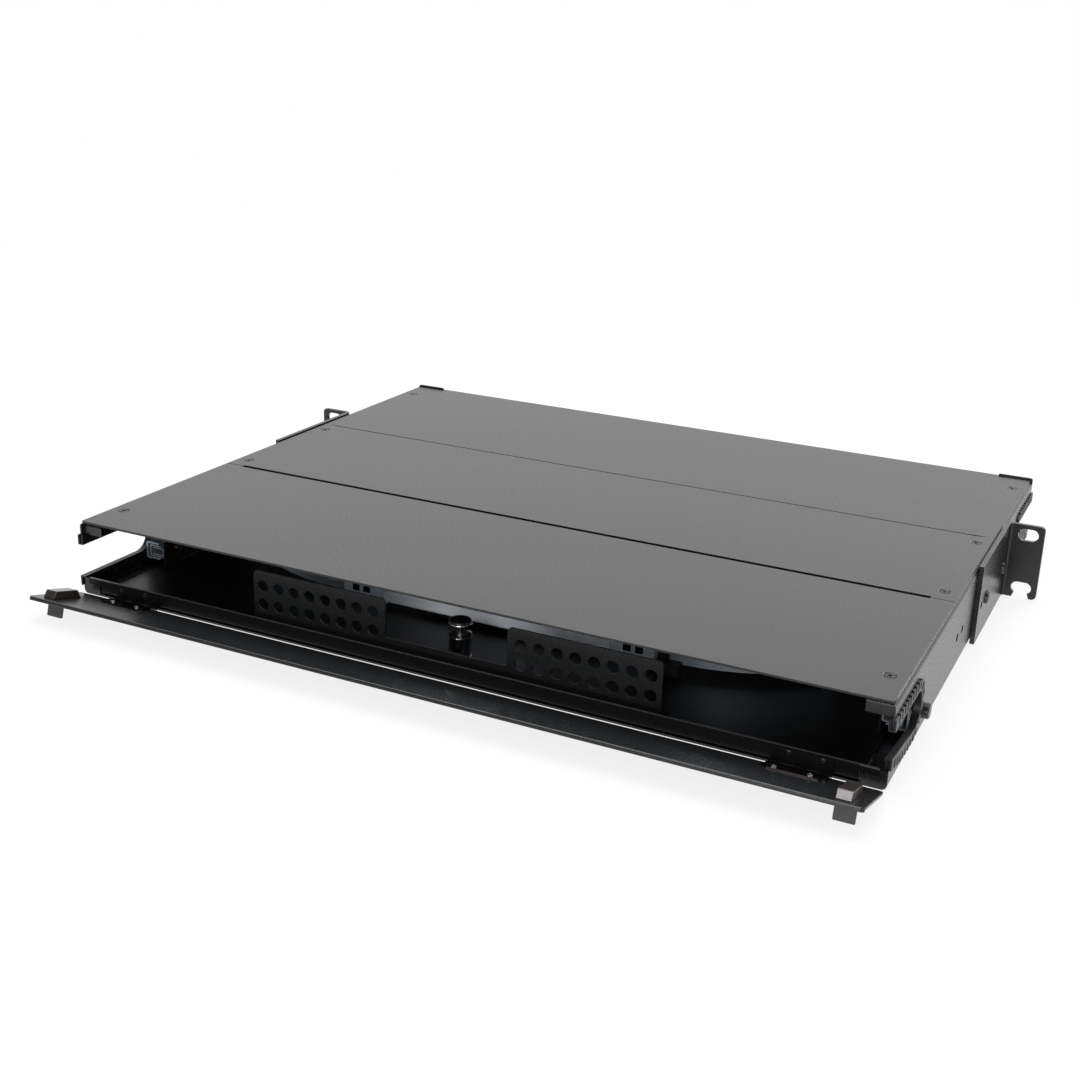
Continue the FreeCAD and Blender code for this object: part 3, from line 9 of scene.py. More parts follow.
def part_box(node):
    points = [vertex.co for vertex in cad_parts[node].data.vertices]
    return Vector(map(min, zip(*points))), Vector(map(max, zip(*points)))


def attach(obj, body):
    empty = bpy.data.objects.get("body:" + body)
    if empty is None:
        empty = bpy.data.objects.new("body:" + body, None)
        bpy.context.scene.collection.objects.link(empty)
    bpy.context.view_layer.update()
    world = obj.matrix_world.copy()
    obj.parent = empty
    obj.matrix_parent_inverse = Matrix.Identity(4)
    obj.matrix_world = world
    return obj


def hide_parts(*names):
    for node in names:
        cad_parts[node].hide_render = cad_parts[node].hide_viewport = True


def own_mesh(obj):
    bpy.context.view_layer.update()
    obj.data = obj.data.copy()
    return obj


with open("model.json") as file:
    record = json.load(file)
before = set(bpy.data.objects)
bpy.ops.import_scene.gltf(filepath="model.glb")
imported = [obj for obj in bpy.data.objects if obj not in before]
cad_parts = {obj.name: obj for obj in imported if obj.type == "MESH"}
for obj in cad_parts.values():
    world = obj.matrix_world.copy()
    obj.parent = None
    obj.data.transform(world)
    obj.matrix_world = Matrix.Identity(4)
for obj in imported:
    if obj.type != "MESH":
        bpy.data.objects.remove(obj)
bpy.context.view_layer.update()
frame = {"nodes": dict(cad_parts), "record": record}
nodes = frame["nodes"]
scene = bpy.context.scene
bodies = frame["record"]["behaviour"]["bodies"]
node_body = {node: body for body, members in bodies.items() for node in members}
node_slot = {part["node"]: part["material_slot"] for part in frame["record"]["subparts"]}
MM = 0.001

# The camera, fitted to the photograph: place in millimetres and angles in radians.
IMAGE_SIZE = 1080.0
FOCAL_PIXELS = 1464.4
CAMERA_HEADING = 0.450287
CAMERA_DIP = 0.335618
CAMERA_ROLL = 0.031121
CAMERA_PLACE = (323.6, -818.8, 285.2)
CENTRE_PIXEL = (539.839, 523.164)
SENSOR = 36.0
CLIP = (0.02, 30.0)


def make_camera():
    """A pinhole camera with the photograph's view, its centre shifted from the picture's middle."""
    heading, dip, roll = CAMERA_HEADING, CAMERA_DIP, CAMERA_ROLL
    ahead = Vector((-sin(heading) * cos(dip), cos(heading) * cos(dip), -sin(dip)))
    level = Vector((cos(heading), sin(heading), 0.0))
    up = level.cross(ahead)
    right = cos(roll) * level + sin(roll) * up
    top = -sin(roll) * level + cos(roll) * up
    data = bpy.data.cameras.new("camera")
    data.sensor_width = SENSOR
    data.lens = FOCAL_PIXELS / IMAGE_SIZE * SENSOR
    data.shift_x = (IMAGE_SIZE / 2 - CENTRE_PIXEL[0]) / IMAGE_SIZE
    data.shift_y = (CENTRE_PIXEL[1] - IMAGE_SIZE / 2) / IMAGE_SIZE
    data.clip_start, data.clip_end = CLIP
    camera = bpy.data.objects.new("camera", data)
    turn = Matrix((right, top, -ahead)).transposed().to_4x4()
    camera.matrix_world = Matrix.Translation(Vector(CAMERA_PLACE) * MM) @ turn
    scene.collection.objects.link(camera)
    scene.camera = camera


class Graph:
    """Short calls for the nodes of a material or of the world."""

    def __init__(self, tree):
        self.tree = tree

    def node(self, kind, **settings):
        made = self.tree.nodes.new(kind)
        for name, value in settings.items():
            setattr(made, name, value)
        return made

    def put(self, value, socket):
        """Link a socket, or store a plain value."""
        if isinstance(value, bpy.types.NodeSocket):
            self.tree.links.new(value, socket)
        else:
            socket.default_value = value

    def spread(self, value, low, high, to_low=0.0, to_high=1.0, **settings):
        """Map the range from low to high onto another range."""
        made = self.node("ShaderNodeMapRange", **settings)
        limits = {"From Min": low, "From Max": high, "To Min": to_low, "To Max": to_high}
        for name, number in limits.items():
            made.inputs[name].default_value = number
        self.put(value, made.inputs["Value"])
        return made.outputs["Result"]

    def combine(self, first, second, operation):
        made = self.node("ShaderNodeMath", operation=operation)
        self.put(first, made.inputs[0])
        self.put(second, made.inputs[1])
        return made.outputs[0]


class Shade(Graph):
    """A Principled material in object coordinates."""

    def __init__(self, name):
        self.material = bpy.data.materials.new(name)
        self.material.use_nodes = True
        super().__init__(self.material.node_tree)
        self.bsdf = self.tree.nodes["Principled BSDF"]
        self.point = self.node("ShaderNodeTexCoord").outputs["Object"]

    def noise(self, scale, detail=2.0, roughness=0.5, stretch=None):
        made = self.node("ShaderNodeTexNoise")
        made.inputs["Scale"].default_value = scale
        made.inputs["Detail"].default_value = detail
        made.inputs["Roughness"].default_value = roughness
        vector = self.point
        if stretch:
            mapping = self.node("ShaderNodeMapping")
            mapping.inputs["Scale"].default_value = stretch
            self.put(self.point, mapping.inputs["Vector"])
            vector = mapping.outputs["Vector"]
        self.put(vector, made.inputs["Vector"])
        return made.outputs["Fac"]

    def between(self, factor, first, second):
        """Mix two colours."""
        made = self.node("ShaderNodeMix", data_type="RGBA")
        self.put(factor, made.inputs[0])
        self.put(first, made.inputs[6])
        self.put(second, made.inputs[7])
        return made.outputs[2]

    def bump(self, height, strength, distance, edge=None):
        made = self.node("ShaderNodeBump")
        made.inputs["Strength"].default_value = strength
        made.inputs["Distance"].default_value = distance
        self.put(height, made.inputs["Height"])
        if edge:
            rounded = self.node("ShaderNodeBevel", samples=4)
            rounded.inputs["Radius"].default_value = edge
            self.put(rounded.outputs["Normal"], made.inputs["Normal"])
        self.put(made.outputs["Normal"], self.bsdf.inputs["Normal"])

    def set(self, **values):
        """Fill the shader's own sockets and return the material."""
        for name, value in values.items():
            self.put(value, self.bsdf.inputs[name.replace("_", " ")])
        return self.material


def grey(level, blue=0.0):
    """A grey, with its blue raised by the given share."""
    return (level, level * (1 + blue / 2), level * (1 + blue), 1.0)


def powder_coat():
    """Fine satin powder paint: tight grain in height and tone, faint larger clouds."""
    s = Shade("powder_coat")
    grain = s.noise(950.0, 3.0, 0.6)
    clouds = s.noise(9.0, 2.0)
    tone = s.combine(s.spread(grain, 0.36, 0.64, 0.0, 0.9), s.spread(clouds, 0.3, 0.7, 0.0, 0.1), "ADD")
    s.bump(grain, 0.2, 0.00006)
    return s.set(
        Base_Color=s.between(tone, grey(0.003, 0.05), grey(0.012, 0.05)),
        Roughness=s.spread(grain, 0.36, 0.64, 0.22, 0.34),
        Specular_IOR_Level=0.5,
    )


def front_coat():
    """Smoother paint of the door and the cable bar, with a slight blue cast."""
    s = Shade("front_coat")
    grain = s.noise(950.0, 3.0, 0.6)
    s.bump(grain, 0.1, 0.00006)
    return s.set(
        Base_Color=s.between(grain, grey(0.010, 0.16), grey(0.016, 0.16)),
        Roughness=s.spread(grain, 0.36, 0.64, 0.26, 0.32),
        Specular_IOR_Level=0.5,
    )


def inner_coat():
    """The duller paint of the parts inside the housing."""
    s = Shade("inner_coat")
    grain = s.noise(950.0, 3.0, 0.6)
    s.bump(grain, 0.12, 0.00006)
    return s.set(
        Base_Color=s.between(grain, grey(0.003, 0.03), grey(0.009, 0.03)),
        Roughness=s.spread(grain, 0.36, 0.64, 0.3, 0.38),
        Specular_IOR_Level=0.3,
    )


def black_plastic():
    """Moulded black plastic with a fine grain and softened edges."""
    s = Shade("black_plastic")
    grain = s.noise(1800.0, 2.0)
    s.bump(grain, 0.3, 0.00005, edge=0.0003)
    return s.set(
        Base_Color=s.between(s.noise(60.0, 3.0), grey(0.005), grey(0.014)),
        Roughness=s.spread(s.noise(90.0, 3.0), 0.3, 0.7, 0.34, 0.5),
        Specular_IOR_Level=0.36,
    )


def gloss_black():
    """Polished black of the plunger's cap."""
    s = Shade("gloss_black")
    s.bump(s.noise(260.0, 2.0), 0.08, 0.0002)
    return s.set(
        Base_Color=s.between(s.noise(45.0, 2.0), grey(0.014), grey(0.032)),
        Roughness=s.spread(s.noise(120.0, 3.0), 0.3, 0.7, 0.1, 0.2),
    )


def zinc():
    """Brushed zinc plate."""
    s = Shade("zinc")
    brushed = s.noise(500.0, 2.0, stretch=(0.06, 1.0, 1.0))
    s.bump(brushed, 0.15, 0.00008)
    return s.set(
        Base_Color=s.between(s.noise(30.0, 4.0), (0.58, 0.65, 0.74, 1), (0.70, 0.76, 0.83, 1)),
        Metallic=0.2,
        Roughness=s.spread(brushed, 0.3, 0.7, 0.26, 0.42),
    )


def painted_shade_black():
    """Darker, less glossy black on the tray lip's front faces and the hinge leaves on it: painted shade
    for the shade and dark reflection of the door in front of the lip.
    """
    s = Shade("painted_shade_black")
    grain = s.noise(950.0, 3.0, 0.6)
    s.bump(grain, 0.1, 0.00006)
    return s.set(
        Base_Color=s.between(grain, grey(0.003, 0.1), grey(0.006, 0.1)),
        Roughness=s.spread(grain, 0.36, 0.64, 0.36, 0.46),
        Specular_IOR_Level=0.15,
    )


def dull_zinc():
    """Zinc plate with a matt chromate film."""
    s = Shade("dull_zinc")
    brushed = s.noise(420.0, 2.0, stretch=(0.08, 1.0, 1.0))
    s.bump(brushed, 0.15, 0.00008)
    return s.set(
        Base_Color=s.between(s.noise(26.0, 4.0), (0.24, 0.29, 0.34, 1), (0.38, 0.43, 0.48, 1)),
        Metallic=0.35,
        Roughness=s.spread(brushed, 0.3, 0.7, 0.3, 0.46),
    )


def rail_zinc():
    """Freshly plated zinc of the rail, paler than the small parts."""
    s = Shade("rail_zinc")
    brushed = s.noise(500.0, 2.0, stretch=(0.06, 1.0, 1.0))
    s.bump(brushed, 0.12, 0.00008)
    return s.set(
        Base_Color=s.between(s.noise(30.0, 4.0), (0.80, 0.86, 0.95, 1), (0.88, 0.94, 1.0, 1)),
        Roughness=s.spread(brushed, 0.3, 0.7, 0.22, 0.36),
    )


def brown_black():
    """Warm black moulding of the latch wedges."""
    s = Shade("brown_black")
    s.bump(s.noise(260.0, 2.0), 0.08, 0.0002)
    return s.set(
        Base_Color=s.between(s.noise(45.0, 2.0), (0.032, 0.024, 0.021, 1), (0.048, 0.036, 0.032, 1)),
        Roughness=s.spread(s.noise(120.0, 3.0), 0.3, 0.7, 0.1, 0.2),
    )


def screw_steel():
    """Blackened screw steel, thinner and brighter where the driver rubs."""
    s = Shade("screw_steel")
    s.bump(s.noise(1900.0, 2.0), 0.3, 0.00004)
    return s.set(
        Base_Color=s.between(s.noise(500.0, 3.0), (0.022, 0.020, 0.019, 1), (0.11, 0.105, 0.10, 1)),
        Metallic=0.9,
        Roughness=s.spread(s.noise(700.0, 3.0), 0.3, 0.7, 0.22, 0.4),
    )


def satin_grey_and_painted_highlight():
    """Satin grey of the latches' finger tabs, also put on upward edges near the front as a painted
    highlight.
    """
    s = Shade("satin_grey_and_painted_highlight")
    grain = s.noise(1400.0, 2.0)
    s.bump(grain, 0.4, 0.00005)
    return s.set(
        Base_Color=s.between(grain, grey(0.035, 0.04), grey(0.075, 0.04)),
        Roughness=s.spread(s.noise(90.0, 3.0), 0.3, 0.7, 0.42, 0.55),
    )


def chrome():
    """Turned, polished chrome."""
    s = Shade("chrome")
    turned = s.noise(900.0, 2.0, stretch=(0.05, 0.05, 1.0))
    s.bump(turned, 0.1, 0.00003)
    return s.set(
        Base_Color=s.between(s.noise(70.0, 2.0), (0.66, 0.66, 0.68, 1), (0.78, 0.78, 0.79, 1)),
        Metallic=1.0,
        Roughness=s.spread(turned, 0.3, 0.7, 0.08, 0.18),
    )


def pale_nylon():
    """Natural nylon of the anchor blocks, cool in this light."""
    s = Shade("pale_nylon")
    s.bump(s.noise(700.0, 3.0), 0.2, 0.00006)
    return s.set(
        Base_Color=s.between(s.noise(35.0, 3.0), (0.56, 0.66, 0.78, 1), (0.66, 0.75, 0.84, 1)),
        Roughness=s.spread(s.noise(80.0, 3.0), 0.3, 0.7, 0.35, 0.5),
    )


def black_steel():
    """Oiled black steel of the screws and pins."""
    s = Shade("black_steel")
    s.bump(s.noise(1500.0, 2.0), 0.25, 0.00005)
    return s.set(
        Base_Color=s.between(s.noise(120.0, 3.0), (0.09, 0.07, 0.065, 1), (0.17, 0.145, 0.13, 1)),
        Metallic=1.0,
        Roughness=s.spread(s.noise(220.0, 3.0), 0.3, 0.7, 0.13, 0.24),
    )


def bright_steel():
    """Bare bright steel."""
    s = Shade("bright_steel")
    s.bump(s.noise(1200.0, 2.0), 0.1, 0.00003)
    return s.set(
        Base_Color=s.between(s.noise(160.0, 3.0), (0.52, 0.51, 0.50, 1), (0.70, 0.69, 0.67, 1)),
        Metallic=1.0,
        Roughness=s.spread(s.noise(300.0, 3.0), 0.3, 0.7, 0.18, 0.34),
    )


# Nodes whose finish differs from the plain one of their slot.
finish_groups = {
    "dull_zinc": ("bend_guide_right", "bend_guide_left", "slide_outer_right", "slide_middle_right",
                  "slide_inner_right", "slide_outer_left", "slide_middle_left", "slide_inner_left"),
    "inner_coat": ("tray", "adapter_frame", "cover_brace", "crossbar_standoffs"),
    "front_coat": ("cable_bar", "front_door"),
    "rail_zinc": ("crossbar",),
    "brown_black": ("latch_right", "latch_left"),
    # The lip's hinge leaves take the same painted shade as the lip's front faces.
    "painted_shade_black": ("hinge_lip_leaf_right", "hinge_lip_leaf_left"),
    "screw_steel": ("cover_screws", "lip_screws", "bracket_screws", "slide_screws"),
}
special_finish = {node: finish for finish, members in finish_groups.items() for node in members}
FINISHES = (powder_coat, black_plastic, gloss_black, zinc, chrome, pale_nylon, black_steel,
            bright_steel, front_coat, inner_coat, painted_shade_black, dull_zinc, rail_zinc, brown_black,
            screw_steel, satin_grey_and_painted_highlight)


def assign_materials():
    """Make every finish once and put it on the CAD nodes. Finished copies take theirs by name."""
    made = {finish.__name__: finish() for finish in FINISHES}
    for node, slot in node_slot.items():
        cad = nodes[node]
        finish = made[special_finish.get(node, slot)]
        if not cad.material_slots:
            cad.data.materials.append(finish)
        for place in cad.material_slots:
            place.material = finish
    return made


# Points closer than the weld distance, in metres, are one; faces flatter than the flat angle are one.
# Edges sharper than the sharp angle are bevelled. A smoothing angle is in degrees.
WELD_DISTANCE = 2e-6
FLAT_ANGLE = radians(0.5)
SHARP_ANGLE = radians(35)
BEVEL_SEGMENTS = 2
PLAIN_SMOOTH = 35
EASED_SMOOTH = 50
COIL_SMOOTH = 60


def stand_in(node, shape, smooth=PLAIN_SMOOTH, weighted=False):
    """A finished shape takes the place of a CAD node and rides on the same body."""
    mesh = bpy.data.meshes.new(node + "_finished")
    shape.normal_update()
    for face in shape.faces:
        face.smooth = True
    for edge in shape.edges:
        edge.smooth = len(edge.link_faces) == 2 and edge.calc_face_angle(pi) < radians(smooth)
    shape.to_mesh(mesh)
    shape.free()
    mesh.materials.append(materials[special_finish.get(node, node_slot[node])])
    made = bpy.data.objects.new(node + "_finished", mesh)
    scene.collection.objects.link(made)
    if weighted:
        made.modifiers.new("normals", "WEIGHTED_NORMAL").keep_sharp = True
    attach(made, node_body[node])
    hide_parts(node)
    return made


def shape_of(node):
    """An editable copy of a CAD node's mesh, with its points welded."""
    shape = bmesh.new()
    shape.from_mesh(nodes[node].data)
    bmesh.ops.remove_doubles(shape, verts=shape.verts, dist=WELD_DISTANCE)
    return shape


def solids_of(node):
    """The points of each separate solid in a node."""
    shape = shape_of(node)
    shape.verts.index_update()
    seen = set()
    solids = []
    for first in shape.verts:
        if first in seen:
            continue
        seen.add(first)
        group = [first]
        for vertex in group:
            for edge in vertex.link_edges:
                other = edge.other_vert(vertex)
                if other not in seen:
                    seen.add(other)
                    group.append(other)
        solids.append([vertex.co.copy() for vertex in group])
    shape.free()
    return solids


def eased(node, width, change=None):
    """A copy of a node with a change to its points and small bevels on its sharp edges."""
    shape = shape_of(node)
    if change:
        change(shape)
    bmesh.ops.dissolve_limit(shape, angle_limit=FLAT_ANGLE, verts=shape.verts, edges=shape.edges)
    edges = [edge for edge in shape.edges
             if len(edge.link_faces) == 2 and edge.calc_face_angle(0.0) > SHARP_ANGLE]
    bmesh.ops.bevel(shape, geom=edges, offset=width * MM, offset_type="OFFSET", segments=BEVEL_SEGMENTS,
                    profile=0.5, affect="EDGES", clamp_overlap=True)
    return stand_in(node, shape, weighted=True, smooth=EASED_SMOOTH)


def ring(shape, radius, height, count):
    """A level circle of points."""
    angles = [2 * pi * i / count for i in range(count)]
    return [shape.verts.new((radius * cos(a), radius * sin(a), height)) for a in angles]


def skin(shape, first, second):
    """A band of faces between two closed loops of the same length."""
    for i in range(len(first)):
        j = (i + 1) % len(first)
        shape.faces.new((first[i], first[j], second[j], second[i]))


def add_turned(shape, profile, count, open_top=False):
    """Rings from the top down, from a profile of radii and heights. Returns the top ring."""
    rings = [ring(shape, radius, height, count) for radius, height in profile]
    for upper, lower in zip(rings, rings[1:]):
        skin(shape, lower, upper)
    if not open_top:
        shape.faces.new(rings[0])
    shape.faces.new(list(reversed(rings[-1])))
    return rings[0]


# Screws: each head is a list of radius and depth, and each recess is its reach, arm width and depth,
# all in mm. The recess tapers, and each screw's cross is turned by some radians more than the last.
COVER_HEAD = [(2.1, 0.0), (2.4, 0.3), (1.6, 1.1), (1.5, 1.3)]
COVER_RECESS = (1.5, 0.42, 0.9)
SMALL_HEAD = [(0.95, 0.0), (1.22, 0.12), (1.3, 0.4), (1.3, 0.7), (0.8, 0.72)]
SMALL_RECESS = (0.7, 0.2, 0.35)
BRACKET_HEAD = [(2.6, 0.0), (3.4, 0.4), (3.7, 1.0), (3.7, 1.6), (2.0, 1.62)]
BRACKET_RECESS = (1.8, 0.42, 0.9)
RECESS_TAPER = 0.72
FIRST_TURN = 0.4
NEXT_TURN = 1.1


def add_phillips(shape, rim, reach, arm, depth):
    """A cross recess inside the rim; the triangles between them close the head's top."""
    height = rim[0].co.z
    corners = []
    for turn in range(4):
        c, s = cos(turn * pi / 2), sin(turn * pi / 2)
        for x, y in ((reach, -arm), (reach, arm), (arm, arm)):
            corners.append((x * c - y * s, x * s + y * c))
    top = [shape.verts.new((x, y, height)) for x, y in corners]
    floor = [shape.verts.new((x * RECESS_TAPER, y * RECESS_TAPER, height - depth)) for x, y in corners]
    skin(shape, top, floor)
    shape.faces.new(floor)
    pairs = [(loop[i], loop[(i + 1) % len(loop)]) for loop in (rim, top) for i in range(len(loop))]
    edges = [shape.edges.get(pair) or shape.edges.new(pair) for pair in pairs]
    bmesh.ops.triangle_fill(shape, use_beauty=True, use_dissolve=False, edges=edges)


def screws(node, axis, profile, recess, count=32):
    """Screws with a cross recess in the places of the node's screws. A profile runs down from the top."""
    axis = Vector(axis).normalized()
    shape = bmesh.new()
    for number, points in enumerate(solids_of(node)):
        direction = axis
        if axis.x and sum(point.x for point in points) < 0:
            direction = -axis
        heights = [point.dot(direction) for point in points]
        flat = [point - direction * point.dot(direction) for point in points]
        low = Vector([min(point[i] for point in flat) for i in range(3)])
        high = Vector([max(point[i] for point in flat) for i in range(3)])
        top = (low + high) / 2 + direction * max(heights)
        length = max(heights) - min(heights)
        single = bmesh.new()
        rings = [(radius * MM, -depth * MM) for radius, depth in profile]
        rings.append((profile[-1][0] * MM, -length))
        rim = add_turned(single, rings, count, open_top=True)
        add_phillips(single, rim, *(value * MM for value in recess))
        place = Matrix.Translation(top) @ direction.to_track_quat("Z", "Y").to_matrix().to_4x4()
        place = place @ Matrix.Rotation(FIRST_TURN + NEXT_TURN * number, 4, "Z")
        bmesh.ops.transform(single, matrix=place, verts=single.verts)
        bmesh.ops.recalc_face_normals(single, faces=single.faces)
        part = bpy.data.meshes.new("part")
        single.to_mesh(part)
        single.free()
        shape.from_mesh(part)
        bpy.data.meshes.remove(part)
    return stand_in(node, shape)


# The table top, which keeps a part of the object's soft shadow.
FLOOR_Z = -0.0217
FLOOR_HALF = 6.0
# Share of the glow near the object, and the distances between which it grows to all of it.
FLOOR_GLOW_NEAR = 0.84
FLOOR_GLOW_FROM = 0.5
FLOOR_GLOW_TO = 1.3


def make_floor():
    """Diffuse for the light that falls on it, and plain white to the camera and in reflections."""
    s = Shade("floor")
    tree = s.tree
    tree.nodes.remove(s.bsdf)
    diffuse = s.node("ShaderNodeBsdfDiffuse")
    speckle = s.spread(s.noise(3.0, 2.0), 0.3, 0.7, 0.0, 1.0)
    s.put(s.between(speckle, grey(0.84), grey(0.86)), diffuse.inputs["Color"])
    glow = s.node("ShaderNodeEmission")
    glow.inputs["Color"].default_value = grey(1.0)
    path = s.node("ShaderNodeLightPath")
    seen = s.combine(path.outputs["Is Camera Ray"], path.outputs["Is Glossy Ray"], "MAXIMUM")
    seen = s.combine(seen, path.outputs["Is Transmission Ray"], "MAXIMUM")
    away = s.node("ShaderNodeVectorMath", operation="LENGTH")
    s.put(s.point, away.inputs[0])
    share = s.spread(away.outputs["Value"], FLOOR_GLOW_FROM, FLOOR_GLOW_TO, FLOOR_GLOW_NEAR, 1.0)
    mix = s.node("ShaderNodeMixShader")
    s.put(s.combine(seen, share, "MULTIPLY"), mix.inputs[0])
    s.put(diffuse.outputs[0], mix.inputs[1])
    s.put(glow.outputs[0], mix.inputs[2])
    s.put(mix.outputs[0], tree.nodes["Material Output"].inputs["Surface"])
    mesh = bpy.data.meshes.new("floor")
    square = ((-1, -1), (1, -1), (1, 1), (-1, 1))
    corners = [(x * FLOOR_HALF, y * FLOOR_HALF, FLOOR_Z) for x, y in square]
    mesh.from_pydata(corners, [], [(0, 1, 2, 3)])
    mesh.materials.append(s.material)
    floor = bpy.data.objects.new("floor", mesh)
    scene.collection.objects.link(floor)


# The studio: a white sweep behind and above the object, dim on the camera's side.
WORLD_TOWARDS = (0.12, 0.80, 0.59)
WORLD_DIM = 0.03
WORLD_FROM = -0.25
WORLD_TO = 0.45
WORLD_LEVEL = 0.85


def make_world():
    """White to the camera; elsewhere the brightness follows the angle from the sweep's middle."""
    world = bpy.data.worlds.new("studio")
    world.use_nodes = True
    scene.world = world
    g = Graph(world.node_tree)
    background = g.tree.nodes["Background"]
    background.inputs["Color"].default_value = grey(1.0)
    facing = g.node("ShaderNodeVectorMath", operation="DOT_PRODUCT")
    facing.inputs[1].default_value = WORLD_TOWARDS
    g.put(g.node("ShaderNodeTexCoord").outputs["Generated"], facing.inputs[0])
    sweep = g.spread(facing.outputs["Value"], WORLD_FROM, WORLD_TO, WORLD_DIM, 1.0,
                     interpolation_type="SMOOTHSTEP")
    path = g.node("ShaderNodeLightPath")
    mirrored = g.combine(path.outputs["Is Glossy Ray"], path.outputs["Is Transmission Ray"], "MAXIMUM")
    level = g.spread(mirrored, 0.0, 1.0, WORLD_LEVEL, 1.0)
    lit = g.combine(level, sweep, "MULTIPLY")
    g.put(g.combine(lit, path.outputs["Is Camera Ray"], "MAXIMUM"), background.inputs["Strength"])


def area_light(name, place, target, size, power):
    """A lamp that the camera doesn't see, turned to its target; metres and watts."""
    data = bpy.data.lights.new(name, "AREA")
    data.shape = "RECTANGLE"
    data.size, data.size_y = size
    data.energy = power
    light = bpy.data.objects.new(name, data)
    light.visible_camera = False
    aim = (Vector(target) - Vector(place)).to_track_quat("-Z", "Y")
    light.matrix_world = Matrix.Translation(Vector(place)) @ aim.to_matrix().to_4x4()
    scene.collection.objects.link(light)


# The door at rest: its angle, its normal and a point of its hinge.
DOOR_TILT = radians(16.0)
DOOR_NORMAL = (0, sin(DOOR_TILT), cos(DOOR_TILT))
DOOR_HINGE = Vector((0, -264, -19.5)) * MM

# The right front grommet's lower run has come off the sheet at its front end.
LOOSE_LENGTH = 36 * MM
LOOSE_LIFT = 5.6 * MM
SHEET_FRONT = -261 * MM
LOWER_RUN = -6 * MM


def loose_grommet():
    """Bend the grommet's lower run upwards towards its front end."""
    shape = shape_of("edge_grommet_front_right")
    for vertex in shape.verts:
        along = 1 - max(0.0, vertex.co.y - SHEET_FRONT) / LOOSE_LENGTH
        if vertex.co.z < LOWER_RUN and along > 0:
            vertex.co.z += LOOSE_LIFT * along ** 2
    stand_in("edge_grommet_front_right", shape)


# Locking plunger: a thin steel knob with a glossy cap. Each profile is radius and height in mm.
PLUNGER_AT = Vector((0, -236, -20.5)) * MM
CAP_PROFILE = [(4.9, 22.2), (5.35, 22.12), (5.65, 21.92), (5.8, 21.62), (5.84, 21.25), (5.84, 21.0)]
SHAFT_PROFILE = [(5.7, 21.0), (6.0, 20.9), (6.1, 20.7), (6.1, 20.4), (5.9, 20.2), (3.4, 20.1),
                 (2.2, 19.7), (1.7, 19.0), (1.7, 4.7), (3.7, 4.6), (3.7, 3.5), (1.7, 3.4), (1.7, 1.1)]


def turned(node, profile, count=64):
    """A turned piece of the plunger, from its profile."""
    shape = bmesh.new()
    add_turned(shape, [(radius * MM, height * MM) for radius, height in profile], count)
    bmesh.ops.translate(shape, vec=PLUNGER_AT, verts=shape.verts)
    bmesh.ops.recalc_face_normals(shape, faces=shape.faces)
    stand_in(node, shape)


# The plunger's spring: wire radius, turns, and the rise of its closed end turns in wire radii.
SPRING_WIRE = 0.3 * MM
CLOSED_RISE = 2.1
SPRING_TURNS = 8


def spring_rise(share, low, high):
    """Closed end turns, and an even pitch between them."""
    closed = 1.0 / SPRING_TURNS
    step = CLOSED_RISE * SPRING_WIRE
    if share < closed:
        return low + step * share / closed
    if share > 1.0 - closed:
        return high - step * (1.0 - share) / closed
    return low + step + (high - low - 2.0 * step) * (share - closed) / (1.0 - 2.0 * closed)


def coil_spring(node, around=32, section=10):
    """A wound spring in place of the sleeve."""
    low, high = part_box(node)
    centre = (low + high) / 2
    radius = (high.x - low.x) / 2 - SPRING_WIRE
    shape = bmesh.new()
    rings = []
    for index in range(SPRING_TURNS * around + 1):
        turn = 2.0 * pi * index / around
        rise = spring_rise(index / (SPRING_TURNS * around), low.z + SPRING_WIRE, high.z - SPRING_WIRE)
        loop = []
        for place in range(section):
            angle = 2.0 * pi * place / section
            out = radius + SPRING_WIRE * cos(angle)
            loop.append(shape.verts.new((centre.x + out * cos(turn), centre.y + out * sin(turn),
                                         rise + SPRING_WIRE * sin(angle))))
        rings.append(loop)
    for first, second in zip(rings, rings[1:]):
        skin(shape, first, second)
    shape.faces.new(rings[0])
    shape.faces.new(rings[-1])
    bmesh.ops.recalc_face_normals(shape, faces=shape.faces)
    made = stand_in(node, shape, smooth=COIL_SMOOTH)
    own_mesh(made)


# The seam behind the middle cover is a narrow groove between the covers' end tabs.
REAR_SEAM = (231.1 - 261) * MM
SEAM_EDGE = (0.1 * MM, 2 * MM)
SEAM_CLOSE = 2.1 * MM
WITHIN_TABS = 207 * MM


def narrow_rear_seam(shape):
    """Move the rear cover's front edge forward."""
    for vertex in shape.verts:
        if SEAM_EDGE[0] < vertex.co.y - REAR_SEAM < SEAM_EDGE[1] and abs(vertex.co.x) < WITHIN_TABS:
            vertex.co.y -= SEAM_CLOSE


# The ends of the front seam, beside the 3 mm gap, show as a thin line.
FRONT_SEAM = (125.1 - 261) * MM
FRONT_SEAM_OPEN = 0.35 * MM
TAB_EDGE = 0.5 * MM
TAB_START = 206 * MM


def open_front_seam(shape):
    """Move the ends of the front cover's rear edge forward."""
    for vertex in shape.verts:
        if abs(vertex.co.x) > TAB_START and abs(vertex.co.y - FRONT_SEAM) < TAB_EDGE:
            vertex.co.y -= FRONT_SEAM_OPEN


# Faces this far below the door's plane belong to the latch's finger tab.
BELOW_DOOR = -0.5 * MM


def make_latch(side):
    """The wedge is glossy and its finger tab, below the door, is satin."""
    wedge = eased("latch_" + side, 0.4)
    wedge.data.materials.append(materials["satin_grey_and_painted_highlight"])
    for face in wedge.data.polygons:
        if (face.center - DOOR_HINGE).dot(Vector(DOOR_NORMAL)) < BELOW_DOOR:
            face.material_index = 1


# The anchor blocks' square windows in mm: distances from the middle, height, half size and depth.
WINDOW_PLACES = (75.7, 82.3)
WINDOW_HEIGHT = -8.9
WINDOW_REACH = 2.2
WINDOW_Y = (-203.15, -194.85)


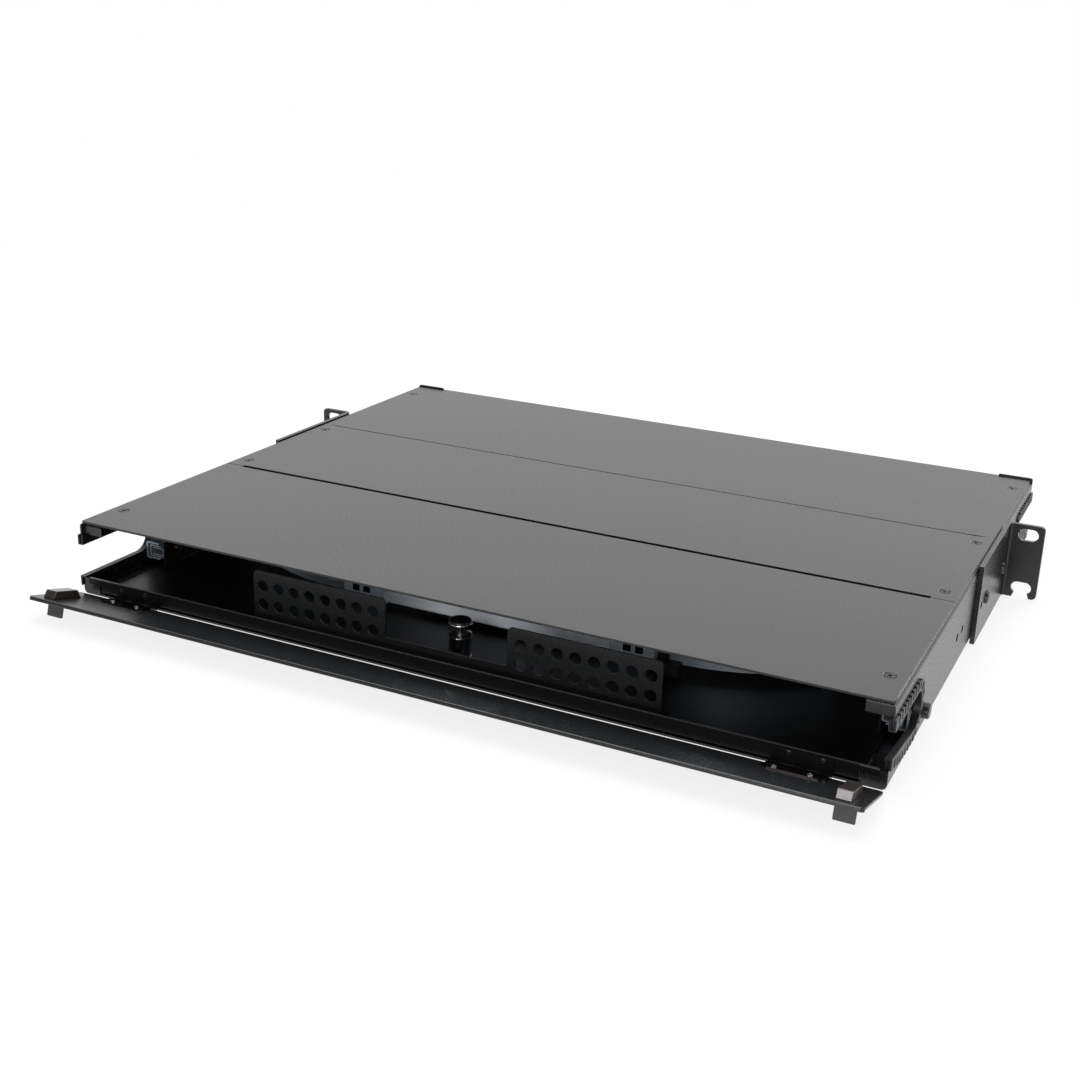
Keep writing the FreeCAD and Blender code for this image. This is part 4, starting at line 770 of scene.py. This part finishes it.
def make_block(side):
    """Black plastic on the walls of the block's windows: painted shade in the recesses."""
    block = eased("anchor_block_" + side, 0.3)
    block.data.materials.append(materials["black_plastic"])
    for face in block.data.polygons:
        x, y, z = face.center / MM
        beside = any(abs(abs(x) - place) < WINDOW_REACH for place in WINDOW_PLACES)
        if beside and abs(z - WINDOW_HEIGHT) < WINDOW_REACH and WINDOW_Y[0] < y < WINDOW_Y[1]:
            face.material_index = 1


# A face looks up, or to the front, when its normal's z is above the one or its y below the other.
LOOKS_UP = 0.3
LOOKS_FRONT = -0.7


def paint_edge_light_and_front_shade(node, width, depth, lift, painted_front_shade=False):
    """An eased copy with a painted highlight: its upward faces within depth of its front and above lift,
    both in mm, turn satin grey. Its front faces there can also get painted shade.
    """
    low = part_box(node)[0]
    made = eased(node, width)
    for finish in ("satin_grey_and_painted_highlight", "painted_shade_black"):
        made.data.materials.append(materials[finish])
    for face in made.data.polygons:
        near_front = face.center.y < low.y + depth * MM
        if face.normal.z > LOOKS_UP and near_front and face.center.z > low.z + lift * MM:
            face.material_index = 1
        # Front faces near the front get painted shade.
        elif painted_front_shade and near_front and face.normal.y < LOOKS_FRONT:
            face.material_index = 2


# Name, place, target, size and power of each lamp.
LAMPS = (
    ("softbox", (-0.075, -1.35, 1.02), (0.0, -0.25, 0), (0.35, 0.35), 4.2),
    ("rear_sheen", (-1.15, 2.6, 1.45), (0, 0, 0), (3.0, 0.9), 3.6),
    ("front_fill", (0.4, -2.0, 0.30), (0, 0, 0), (1.2, 0.3), 10.0),
    ("edge_glow", (1.0, 2.3, 1.5), (0.2, 0, 0), (1.4, 0.6), 24.0),
    ("overhead", (-0.3, 0.3, 1.7), (0, 0, 0), (1.8, 1.4), 26.0),
)
# Edge rounding in mm.
PLAIN_EASED = (("front_door", 0.25), ("middle_cover", 0.25), ("crossbar", 0.2),
               ("rack_bracket_right", 0.4), ("rack_bracket_left", 0.4), ("plunger_barrel", 0.2))
SEAM_EASED = 0.25

make_camera()
materials = assign_materials()
make_floor()
make_world()
screws("cover_screws", (0, 0, 1), COVER_HEAD, COVER_RECESS)
screws("lip_screws", (0, -1, 0), SMALL_HEAD, SMALL_RECESS)
screws("door_screws", DOOR_NORMAL, SMALL_HEAD, SMALL_RECESS)
screws("bracket_screws", (1, 0, 0), BRACKET_HEAD, BRACKET_RECESS)
loose_grommet()
turned("plunger_cap", CAP_PROFILE)
turned("plunger_shaft", SHAFT_PROFILE)
coil_spring("plunger_spring")
# Painted highlights on the upward edges of the cable bar and the tray lip, and painted shade on the lip's
# front faces.
paint_edge_light_and_front_shade("cable_bar", width=0.35, depth=1.4, lift=3.0)
paint_edge_light_and_front_shade("tray", width=0.25, depth=2.2, lift=4.0, painted_front_shade=True)
for side in ("right", "left"):
    make_block(side)
for side in ("right", "left"):
    make_latch(side)
for node, width in PLAIN_EASED:
    eased(node, width)
eased("rear_cover", SEAM_EASED, change=narrow_rear_seam)
eased("front_cover", SEAM_EASED, change=open_front_seam)
for lamp in LAMPS:
    area_light(*lamp)
scene.view_settings.view_transform = "Standard"
